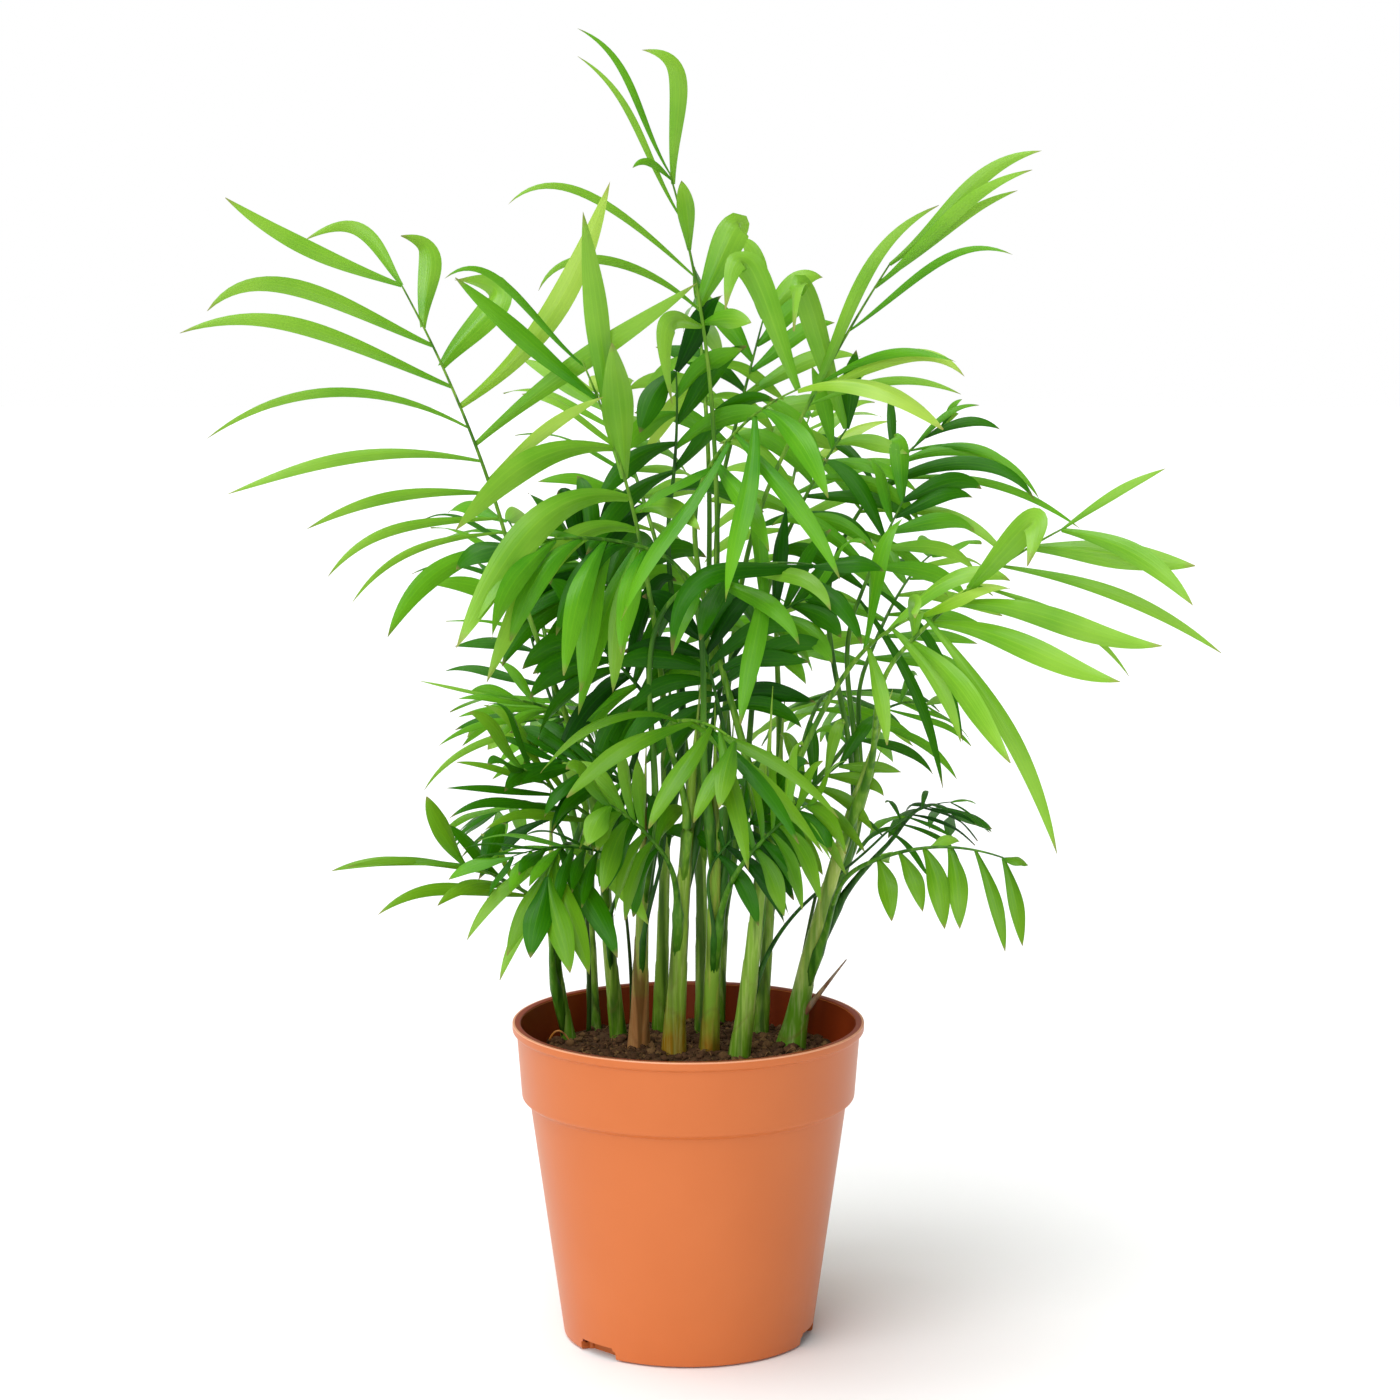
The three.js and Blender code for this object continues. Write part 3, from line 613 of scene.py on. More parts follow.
# %% Stem sizes, in millimetres
STEMS = {
    "front_left": {"foot": (-41, 22), "top": (-47, 16, 150), "bend": -3, "radius": (2.6, 1.9)},
    "left": {"foot": (-24, 22), "top": (-29, 12, 176), "bend": -2, "radius": (2.8, 2)},
    "tan": {"foot": (-17, 5), "top": (-15, -6, 170), "bend": 0, "radius": (3.8, 1.9)},
    "inner_left": {"foot": (-10, 27), "top": (-7, 20, 196), "bend": 0, "radius": (2.6, 1.9)},
    "middle": {"foot": (-5, -2), "top": (1, -10, 190), "bend": -1, "radius": (4, 2.2)},
    "brown": {"foot": (7, -2), "top": (9, -12, 182), "bend": 1, "radius": (3.3, 2)},
    "bright": {"foot": (17, -8), "top": (26, -16, 188), "bend": 2, "radius": (3.5, 2.2)},
    "right": {"foot": (35, 12), "top": (57, 2, 186), "bend": -3, "radius": (5.2, 2.4), "waist": 0.6},
    "inner_back": {"foot": (5, 24), "top": (4, 30, 186), "bend": 0, "radius": (2.6, 1.8)},
    "back_left": {"foot": (-33, 38), "top": (-36, 52, 160), "bend": 0, "radius": (2.4, 1.7)},
    "back_right": {"foot": (25, 32), "top": (31, 42, 178), "bend": 0, "radius": (2.6, 1.8)},
    "back": {"foot": (10, 46), "top": (14, 60, 168), "bend": 0, "radius": (2.5, 1.7)},
    "far_right": {"foot": (34, 28), "top": (56, 44, 160), "bend": 0, "radius": (2.6, 1.8)},
}
STEM_DEPTH = 3
STEM_WAIST = 0.78
STEM_SWELL = 9
MOUTH_STEP = 0.35
MOUTH_SLANT = 5.0
MOUTH_SPACING = 17.0
RIBS = 15
RIB_HEIGHT = 0.07
MOUTH_EDGE = 0.9
MOUTH_TURN = 2.4
MOUTH_SWELL = 0.6
FIRST_MOUTH = 0.8
MOUTH_UNEVEN = 0.3
RIB_SHIFT = 2
RIB_STREAM = 9


def quadratic(a, b, c, t):
    return a * (1 - t) ** 2 + b * (2 * t * (1 - t)) + c * t ** 2


def quadratic_slope(a, b, c, t):
    return ((b - a) * (1 - t) + (c - b) * t).normalized()


def stem_axis(stem):
    x, y = stem["foot"]
    foot = Vector((x, y, soil_height(x, y) - STEM_DEPTH))
    top = Vector(stem["top"])
    middle = (foot + top) * 0.5 + Vector((stem["bend"], 0, 0))
    return foot, middle, top


def stem_radius(stem, t):
    foot, top = stem["radius"]
    slim = foot * stem.get("waist", STEM_WAIST) * (1 - t) + top * t
    swelling = math.exp(-t * STEM_SWELL)
    return slim + (foot - slim) * swelling


def smooth(edge, width, value):
    t = min(1, max(0, (value - edge) / width + 0.5))
    return t * t * (3 - 2 * t)


print("stems:", len(STEMS))

# %% [markdown]
# ### Stem tubes
# A curve with a round bevel would be quicker, but it couldn't carry the sheath mouths. So each
# stem is a tube of rings, and each point's distance from the axis adds up the taper, the mouths
# above it and the ribs. The youngest leaf, still rolled, stands on top as a thin spear. The UV map
# carries two values to the material: how strong a ring scar is there, and how far up the point is.

# %% Stem tubes
STEM_RINGS = 90
STEM_SIDES = 36
SPEAR = ((8, 0.72), (18, 0.45), (30, 0.22), (40, 0.06))
SCAR_WIDTH = 0.8
SCAR_FADE = 0.45
STEM_KINDS = {"tan": "tan", "middle": "yellow", "brown": "brown", "front_left": "pale", "right": "pale"}


def mouth_heights(length, seed):
    """How far up the stem each sheath ends."""
    count = int(length / MOUTH_SPACING)
    return [MOUTH_SPACING * (k + FIRST_MOUTH + MOUTH_UNEVEN * wobble(seed, k)) for k in range(count)]


def mouth_marks(mouths, height, angle, seed):
    """What the slanted mouths add to the radius at a point, and how strong a scar is there."""
    step = 0
    scar = 0
    for m, mouth in enumerate(mouths):
        opening = mouth + MOUTH_SLANT * math.cos(angle - MOUTH_TURN * m - seed)
        step += MOUTH_STEP * (0.5 - smooth(opening, MOUTH_EDGE, height))
        scar = max(scar, math.exp(-((height - opening) / SCAR_WIDTH) ** 2))
    return step, scar


def stem_rows(stem, seed):
    foot, middle, top = stem_axis(stem)
    length = (top - foot).length
    mouths = mouth_heights(length, seed)
    rows = []
    marks = []
    for i in range(STEM_RINGS + 1):
        t = i / STEM_RINGS
        centre = quadratic(foot, middle, top, t)
        tangent = quadratic_slope(foot, middle, top, t)
        side, up = cross_frame(tangent, Vector((1, 0, 0)))
        radius = stem_radius(stem, t)
        row = []
        row_marks = []
        for k in range(STEM_SIDES):
            angle = 2 * math.pi * k / STEM_SIDES
            step, scar = mouth_marks(mouths, t * length, angle, seed)
            rib = RIB_HEIGHT * math.sin(RIBS * angle + RIB_SHIFT * wobble(seed, RIB_STREAM))
            swell = radius + step * MOUTH_SWELL + rib
            row.append(centre + side * (swell * math.cos(angle)) + up * (swell * math.sin(angle)))
            row_marks.append((scar * max(0, 1 - t / SCAR_FADE), t))
        rows.append(row)
        marks.append(row_marks)
    top_ring = rows[-1]
    for rise, share in SPEAR:
        tip = top + quadratic_slope(foot, middle, top, 1) * rise
        rows.append([tip + (Vector(p) - top) * share for p in top_ring])
        marks.append([(0, 1)] * STEM_SIDES)
    return np.array(rows), np.array(marks)


stem_pieces = {kind: Collector() for kind in ("green", "tan", "yellow", "brown", "pale")}
stem_nodes = {kind: [] for kind in stem_pieces}
for seed, (name, stem) in enumerate(STEMS.items()):
    kind = STEM_KINDS.get(name, "green")
    rows, marks = stem_rows(stem, seed)
    stem_pieces[kind].tube(rows, uv=marks)
    stem_nodes[kind].append("stem_" + name)
print("stem kinds:", {kind: len(names) for kind, names in stem_nodes.items()})


# %% [markdown]
# ### Sheath
# A young sheath is smooth, waxy and green with pale fibres. Near the compost it turns yellow and
# then brown as it dries. Two colours meet at a height above the compost, and noise makes that
# border ragged. The fibres are thin stripes along the stem, noise stretched twenty times in height.
# Real ones are about 0.3 millimetres wide, and are drawn four times coarser so that they show.
# Broader dark bands along the stem are painted shade: they stand for the stem's shaded sides. Old
# leaves leave brown ring scars near the foot, whose strength comes with the mesh.

# %% Sheath material
SCAR = "#6a4a22"
FIBRE_STRIPE = (1.11, 1.11, 22.2)
PAINTED_SHADE_BAND = (3.03, 3.03, 111)
RAGGED_SIZE = 8.33
RAGGED_HEIGHT = 26
BORDER_BLEND = (6, 22)
STRIPE_DEPTH = 0.2


def leaf_sheath(name, foot_hex, top_hex, pale_hex, shade_band_hex, border):
    """border is the height in millimetres around which the foot's colour gives way to the top's."""
    material, tree, shader, place = start_material(name, roughness=0.45, gloss=0.28, ior=1.45)
    split = add_node(tree, "ShaderNodeSeparateXYZ", {}, {"Vector": place.outputs["Object"]})
    stretch = add_node(tree, "ShaderNodeMapping", {"Scale": [spots_per_metre(s) for s in FIBRE_STRIPE]},
                       {"Vector": place.outputs["Object"]})
    streaks = add_node(tree, "ShaderNodeTexNoise", {"Scale": 1, "Detail": 3},
                       {"Vector": stretch.outputs["Vector"]})
    ragged = add_node(tree, "ShaderNodeTexNoise", {"Scale": spots_per_metre(RAGGED_SIZE), "Detail": 3},
                      {"Vector": place.outputs["Object"]})
    shift = add_node(tree, "ShaderNodeMath", {"operation": "MULTIPLY_ADD", 1: RAGGED_HEIGHT * MM},
                     {0: ragged.outputs["Fac"], 2: split.outputs["Z"]})
    height = add_node(tree, "ShaderNodeMapRange",
                      {"From Min": (border + BORDER_BLEND[0]) * MM,
                       "From Max": (border + BORDER_BLEND[1]) * MM},
                      {"Value": shift.outputs["Value"]})
    body = add_node(tree, "ShaderNodeMix",
                    {"data_type": "RGBA", 6: linear(foot_hex), 7: linear(top_hex)},
                    {0: height.outputs["Result"]})
    stripe = add_node(tree, "ShaderNodeMapRange", {"From Min": 0.48, "From Max": 0.78, "To Max": 0.5},
                      {"Value": streaks.outputs["Fac"]})
    tint = add_node(tree, "ShaderNodeMix", {"data_type": "RGBA", 7: linear(pale_hex)},
                    {0: stripe.outputs["Result"], 6: body.outputs[2]})
    marks = add_node(tree, "ShaderNodeSeparateXYZ", {}, {"Vector": place.outputs["UV"]})
    # Painted shade: dark bands along the stem stand for its shaded sides.
    shade_bands = add_node(tree, "ShaderNodeMapping", {"Scale": [spots_per_metre(s) for s in PAINTED_SHADE_BAND]},
                     {"Vector": place.outputs["Object"]})
    shade = add_node(tree, "ShaderNodeTexNoise", {"Scale": 1, "Detail": 1},
                     {"Vector": shade_bands.outputs["Vector"]})
    dark_side = add_node(tree, "ShaderNodeMapRange", {"From Min": 0.48, "From Max": 0.62, "To Max": 0.75},
                         {"Value": shade.outputs["Fac"]})
    shade_banded = add_node(tree, "ShaderNodeMix", {"data_type": "RGBA", 7: linear(shade_band_hex)},
                      {0: dark_side.outputs["Result"], 6: tint.outputs[2]})
    worn = add_node(tree, "ShaderNodeMath", {"operation": "MULTIPLY"},
                    {0: marks.outputs["X"], 1: ragged.outputs["Fac"]})
    scarred = add_node(tree, "ShaderNodeMix", {"data_type": "RGBA", 7: linear(SCAR)},
                       {0: worn.outputs["Value"], 6: shade_banded.outputs[2]})
    bump = add_node(tree, "ShaderNodeBump", {"Strength": 0.35, "Distance": STRIPE_DEPTH * MM},
                    {"Height": streaks.outputs["Fac"]})
    tree.links.new(scarred.outputs[2], shader.inputs["Base Color"])
    tree.links.new(bump.outputs["Normal"], shader.inputs["Normal"])
    return material


sheaths = {
    "green": leaf_sheath("green_leaf_sheath", "#508006", "#80aa34", "#ccda84", "#285404", 106),
    "yellow": leaf_sheath("yellowing_leaf_sheath", "#946c04", "#82a832", "#ccd884", "#445c06", 108),
    "tan": leaf_sheath("dry_tan_leaf_sheath", "#a87444", "#88aa3c", "#d4b078", "#5c3c10", 124),
    "brown": leaf_sheath("browning_leaf_sheath", "#94600c", "#7ca430", "#c4b054", "#3c4a06", 106),
    # The pale sheath is a lighter copy of the green one, with little painted shade in its bands: painted
    # light on stems that look lit.
    "pale": leaf_sheath("sunlit_pale_leaf_sheath", "#5c9018", "#a4bc54", "#e0e4a4", "#5a8a1c", 120),
}
for kind, collector in stem_pieces.items():
    collector.build("stems_" + kind, [sheaths[kind]], "stem", stem_nodes[kind])


# %% [markdown]
# ### Dry shoots
# Some old leaves have lost their blades. What stays is a thin stalk, and one dry spike that leans
# out over the rim. A bit of pale root shows on the compost. Each is a thin tube along a curve of
# three points, with a radius for its foot and one for its point.

# %% Old stalks, a spike and a root, in millimetres
SHOOTS = {
    "dry_spike": ((38, 10, 107), (45, 5, 118), (54, 3, 130), (1.4, 0.2)),
    "old_stalk_right": ((36, 20, 99), (38, 19, 122), (44, 18, 150), (0.9, 0.6)),
    "old_stalk_left": ((-20, 30, 98), (-19, 29, 120), (-23, 28, 152), (0.8, 0.5)),
    "old_stalk_edge": ((-35, 32, 97), (-34, 31, 120), (-36, 30, 150), (0.9, 0.6)),
    "bare_root": ((-48, 14, 99), (-45, 13, 106), (-41, 13, 99), (0.4, 0.3)),
}
SHOOT_KINDS = {"dry_spike": "dry", "bare_root": "dry"}
SHOOT_RINGS = 16
SHOOT_SIDES = 10


def shoot_rows(path, foot_r, point_r):
    rows = []
    angles = [2 * math.pi * k / SHOOT_SIDES for k in range(SHOOT_SIDES)]
    for i in range(SHOOT_RINGS + 1):
        t = i / SHOOT_RINGS
        side, up = cross_frame(quadratic_slope(*path, t), Vector((0, -1, 0)))
        centre = quadratic(*path, t)
        reach = foot_r * (1 - t) + point_r * t
        rows.append([centre + (side * math.cos(a) + up * math.sin(a)) * reach for a in angles])
    return np.array(rows)


shoots = {"green": Collector(), "dry": Collector()}
for name, (*points, (foot_r, point_r)) in SHOOTS.items():
    path = [Vector(point) for point in points]
    shoots[SHOOT_KINDS.get(name, "green")].tube(shoot_rows(path, foot_r, point_r))
shoot_materials = {
    "green": leaf_sheath("old_leaf_stalk", "#4a5a20", "#3c5c1c", "#7a8a4a", "#24400c", 96),
    "dry": leaf_sheath("dry_shoot", "#b8742c", "#8a7864", "#c89a60", "#6c4020", 104),
}
for kind, collector in shoots.items():
    collector.build("shoots_" + kind, [shoot_materials[kind]], "stem", ["stem_right", "stem_left"])


# %% [markdown]
# ## Fronds
# A frond leaves its stem as a bare stalk, arches out and carries its leaflets in two rows. It is
# described by few numbers, and the leaflets then grow by rule, with small seeded differences,
# because no two on a real plant match. The first line of each row is the stalk and midrib: its
# stem, how far up it leaves the stem, where the lowest leaflets sit (neck), where the midrib ends
# (tip), how far it bows between them, and which way its upper side faces, as a compass angle and
# a height. The second line is the leaflets, left side first: how long they are (reach), their
# angle to the midrib at its start and end (spread), how much they sag (droop), how many a side has
# (pairs), how wide they are, how steeply their ends hang, and how light the frond is (tone).

# %% Frond sizes, in millimetres and degrees
FROND_COLUMNS = ("stem", "leave", "neck", "tip", "bow", "face",
                 "reach", "spread", "droop", "pairs", "width", "hang", "tone")
FROND_ROWS = {
    "left_high": ("left", 1, (-58, -20, 270), (-92, -38, 361), (6, 0, 1), (-90, 15),
        (94, 92), (68, 22, 60, 10), (0.3, 0.3), (9, 6), 7.2, 0.45, "bright"),
    "top": ("middle", 1, (8, 8, 318), (-6, 0, 396), (4, 0, 2), (-90, 10),
        (74, 48), (60, 8, 26, 18), (0.3, 0.08), (6, 4), 7.5, 0.4, "bright"),
    "right_high": ("inner_back", 0.9, (30, 22, 296), (68, 25, 365), (-2, 0, 2), (-70, 20),
        (70, 58), (10, 6, 62, 14), (0.1, 0.6), (3, 5), 8, 0.5, "bright"),
    "right_wide": ("right", 1, (70, -42, 243), (118, -74, 286), (-4, 0, 4), (-75, 35),
        (34, 78), (70, 26, 48, 20), (0.9, 0.35), (3, 7), 8.5, 0.4, "bright"),
    "right_hanging": ("bright", 0.9, (56, -25, 238), (76, -50, 256), (-2, 0, 3), (-80, 40),
        (50, 60), (60, 26, 60, 20), (0.6, 0.6), (3, 3), 9, 0.6, "bright"),
    "front_high": ("bright", 1, (6, -15, 298), (35, -58, 329), (-4, 0, 6), (-75, 55),
        (50, 60), (75, 30, 75, 25), (0.7, 0.7), (4, 4), 10.5, 0.6, "bright"),
    "left_inner": ("inner_left", 1, (-15, -20, 272), (-34, -40, 337), (4, 0, 0), (-90, 20),
        (78, 50), (85, 40, 36, 5), (0.6, 0.1), (5, 4), 8.5, 0.6, "bright"),
    "front_right": ("tan", 1, (2, -20, 262), (41, -34, 270), (0, 0, 6), (-90, 60),
        (32, 38), (80, 30, 70, 30), (1, 1), (4, 4), 8, 0.9, "mid"),
    "front_left": ("brown", 1, (-12, -35, 275), (-53, -64, 280), (0, 0, 6), (-90, 60),
        (58, 32), (55, 25, 75, 35), (0.9, 0.9), (6, 5), 8.5, 0.9, "mid"),
    "front_low": ("middle", 0.86, (-4, -45, 220), (15, -84, 220), (0, 0, 5), (-90, 75),
        (46, 42), (80, 30, 80, 30), (0.9, 0.9), (4, 5), 9, 0.6, "bright"),
    "left_low": ("front_left", 0.4, (-52, 0, 152), (-74, -22, 168), (-2, 0, 3), (-80, 60),
        (46, 30), (75, 40, 60, 10), (0.45, 0.1), (4, 4), 7.5, 0.5, "mid"),
    "left_hanging": ("front_left", 0.72, (-40, -6, 172), (-46, -42, 168), (0, 0, 6), (-90, 70),
        (42, 42), (80, 35, 80, 35), (1, 1), (4, 4), 9, 0.8, "mid"),
    "right_low": ("right", 0.4, (60, -20, 168), (104, -36, 173), (0, 0, 9), (-80, 50),
        (13, 32), (75, 35, 60, 30), (0.9, 0.9), (3, 6), 6.5, 0.8, "mid"),
    "left_middle": ("inner_left", 0.8, (-40, 20, 200), (-57, 42, 246), (-3, 0, 0), (-100, 20),
        (32, 28), (80, 30, 70, 30), (0.25, 0.25), (5, 5), 4.6, 0.5, "deep"),
    "left_lower": ("left", 0.84, (-30, -12, 180), (-54, -32, 202), (-3, 0, 3), (-90, 50),
        (42, 36), (70, 30, 70, 30), (0.5, 0.5), (5, 5), 6, 0.6, "mid"),
    "right_inner": ("far_right", 0.9, (54, 35, 272), (88, 55, 308), (-3, 0, 6), (-70, 40),
        (40, 46), (65, 25, 70, 25), (0.6, 0.6), (6, 8), 4.6, 0.7, "mid"),
    "right_middle": ("back_right", 0.85, (54, 44, 196), (84, 68, 208), (0, 0, 12), (-80, 50),
        (32, 34), (60, 30, 60, 30), (0.6, 0.6), (5, 5), 3.8, 0.6, "mid"),
    "right_small": ("bright", 0.3, (66, 32, 166), (92, 50, 176), (0, 0, 6), (-80, 60),
        (22, 20), (65, 30, 65, 30), (0.7, 0.7), (4, 4), 2.8, 0.5, "deep"),
    "centre_high": ("back", 1, (14, 46, 300), (26, 58, 345), (0, 0, 0), (-90, 20),
        (40, 40), (60, 30, 60, 25), (0.5, 0.5), (5, 6), 8, 0.6, "mid"),
    "centre_inner": ("inner_left", 0.9, (-6, 20, 285), (-4, 10, 330), (2, 0, 0), (-90, 30),
        (40, 36), (60, 30, 50, 25), (0.5, 0.5), (5, 6), 8.5, 0.6, "deep"),
    "centre_low": ("brown", 0.72, (11, -8, 216), (5, -12, 242), (0, -3, 0), (-90, 20),
        (30, 32), (80, 35, 80, 35), (0.7, 0.7), (7, 7), 8, 0.8, "deep"),
    "centre_left": ("tan", 0.8, (-12, 2, 218), (-32, -6, 241), (0, 0, 3), (-90, 30),
        (34, 32), (75, 30, 75, 30), (0.8, 0.8), (8, 8), 8.5, 0.8, "deep"),
    "centre_left_high": ("left", 0.93, (-20, 14, 248), (-37, 14, 267), (0, 0, 3), (-90, 35),
        (36, 34), (70, 30, 75, 30), (0.8, 0.8), (8, 8), 8.5, 0.8, "deep"),
    "centre_right": ("middle", 0.8, (20, 6, 240), (39, -6, 255), (0, 0, 3), (-90, 30),
        (34, 24), (75, 30, 60, 20), (0.8, 0.5), (7, 5), 8, 0.8, "deep"),
    "right_upper": ("right", 0.82, (57, 14, 250), (73, 22, 285), (0, 0, 3), (-80, 25),
        (36, 36), (70, 30, 70, 30), (0.7, 0.7), (7, 7), 6.6, 0.8, "mid"),
    "right_upper_inner": ("back", 0.8, (36, 34, 277), (54, 30, 309), (0, 0, 3), (-85, 25),
        (34, 36), (70, 30, 70, 30), (0.6, 0.6), (6, 6), 6.6, 0.7, "mid"),
    "low_right": ("bright", 0.55, (30, 4, 175), (51, 4, 197), (0, 0, 3), (-85, 35),
        (30, 28), (75, 30, 75, 30), (0.8, 0.8), (7, 6), 5.4, 0.8, "mid"),
    "low_right_front": ("brown", 0.55, (21, -28, 173), (39, -44, 192), (0, 0, 3), (-85, 40),
        (28, 32), (75, 30, 75, 30), (0.8, 0.8), (6, 7), 7.5, 0.8, "mid"),
    "left_thin": ("front_left", 1, (-39, 12, 211), (-57, 6, 219), (0, 0, 2), (-90, 40),
        (28, 26), (60, 25, 75, 30), (0.3, 0.5), (5, 4), 4, 0.5, "mid"),
    "low_centre": ("middle", 0.55, (-9, -24, 173), (-25, -44, 192), (0, 0, 3), (-90, 40),
        (32, 28), (75, 30, 75, 30), (0.8, 0.8), (7, 7), 8, 0.8, "mid"),
    "back_left_high": ("back_left", 1, (-50, 58, 232), (-66, 118, 268), (0, 0, 12), (90, 60),
        (44, 44), (74, 26, 74, 26), (0.4, 0.4), (7, 7), 7.5, 0.5, "mid"),
    "back_left_mid": ("back_left", 0.82, (-34, 68, 200), (-58, 125, 196), (0, 0, 16), (90, 60),
        (42, 42), (74, 26, 74, 26), (0.6, 0.6), (7, 7), 7.5, 0.6, "mid"),
    "back_high": ("inner_back", 0.8, (-12, 52, 270), (-34, 112, 316), (0, 0, 12), (90, 60),
        (48, 48), (74, 26, 74, 26), (0.4, 0.4), (7, 7), 8, 0.5, "bright"),
    "back_mid": ("back", 0.88, (4, 60, 235), (0, 130, 240), (0, 0, 18), (90, 60),
        (48, 48), (74, 26, 74, 26), (0.5, 0.5), (7, 7), 7.5, 0.6, "mid"),
    "back_right_high": ("back_right", 1, (32, 62, 260), (44, 122, 306), (0, 0, 12), (90, 60),
        (48, 48), (74, 26, 74, 26), (0.4, 0.4), (7, 7), 8, 0.5, "bright"),
    "back_right_mid": ("back_right", 0.72, (44, 64, 205), (60, 128, 196), (0, 0, 16), (90, 60),
        (42, 42), (74, 26, 74, 26), (0.6, 0.6), (7, 7), 7.5, 0.6, "mid"),
    "far_right_high": ("far_right", 1, (62, 60, 222), (88, 112, 256), (0, 0, 12), (60, 60),
        (44, 40), (74, 26, 74, 26), (0.5, 0.5), (7, 7), 7.5, 0.6, "mid"),
    "far_right_low": ("far_right", 0.7, (74, 50, 166), (96, 92, 164), (0, 0, 12), (60, 60),
        (24, 24), (74, 26, 74, 26), (0.7, 0.7), (6, 6), 5, 0.6, "deep"),
    "back_top": ("inner_back", 1, (6, 40, 315), (2, 72, 362), (0, 0, 4), (90, 30),
        (34, 34), (60, 20, 60, 20), (1.1, 1.1), (5, 5), 7, 0.5, "bright"),
    "back_left_low": ("back_left", 0.66, (-48, 58, 168), (-70, 100, 164), (0, 0, 10), (120, 60),
        (32, 32), (74, 26, 74, 26), (0.7, 0.7), (6, 6), 6.5, 0.6, "deep"),
    "back_low": ("back", 0.74, (20, 72, 176), (22, 118, 160), (0, 0, 12), (90, 60),
        (34, 34), (74, 26, 74, 26), (0.7, 0.7), (6, 6), 6.5, 0.6, "deep"),
    "left_spray": ("left", 0.5, (-26, -16, 170), (-58, -34, 173), (0, 0, 6), (-90, 70),
        (26, 26), (60, 30, 60, 30), (0.3, 0.6), (8, 8), 5, 0.5, "deep"),
    "centre_spray": ("tan", 0.55, (-14, -12, 190), (-42, -22, 203), (0, 0, 4), (-90, 50),
        (30, 30), (70, 30, 70, 30), (0.5, 0.7), (8, 8), 6.5, 0.6, "deep"),
    "inner_spray": ("brown", 0.5, (9, -14, 168), (24, -22, 184), (0, 0, 3), (-90, 40),
        (28, 28), (75, 30, 75, 30), (0.9, 0.9), (6, 6), 7, 0.7, "deep"),
}
FRONDS = {name: dict(zip(FROND_COLUMNS, row)) for name, row in FROND_ROWS.items()}
print("fronds:", len(FRONDS))

# %% [markdown]
# Small sprays low in the plant have thinner stalks. Three of them have no solid of their own, and
# share the solid of the frond beside them.

# %% Small sprays
SLIM = 0.6
SLIM_STALKS = ("right_small", "left_spray", "centre_spray", "inner_spray")
SHARED_SOLIDS = {
    "left_spray": "left_hanging", "centre_spray": "low_centre", "inner_spray": "low_right_front",
}


def frond_node(name):
    """The solid that this frond stands for."""
    return "frond_" + SHARED_SOLIDS.get(name, name)


print("solids of fronds:", len({frond_node(name) for name in FRONDS}))

# %% [markdown]
# Some leaflets stand out from the rest and give the plant its outline. L1 is the lowest leaflet on
# the left side of a frond, R1 the lowest on its right. TIPS gives the tip in millimetres, and for
# many how high it arches, how steeply its end hangs and how wide it is. A broad leaflet can also
# topple over: FOLDS gives its tip, the corner it bends over and its width. PLACES gives, for the
# fronds that stand clear of the others, how far along the midrib each leaflet leaves it.

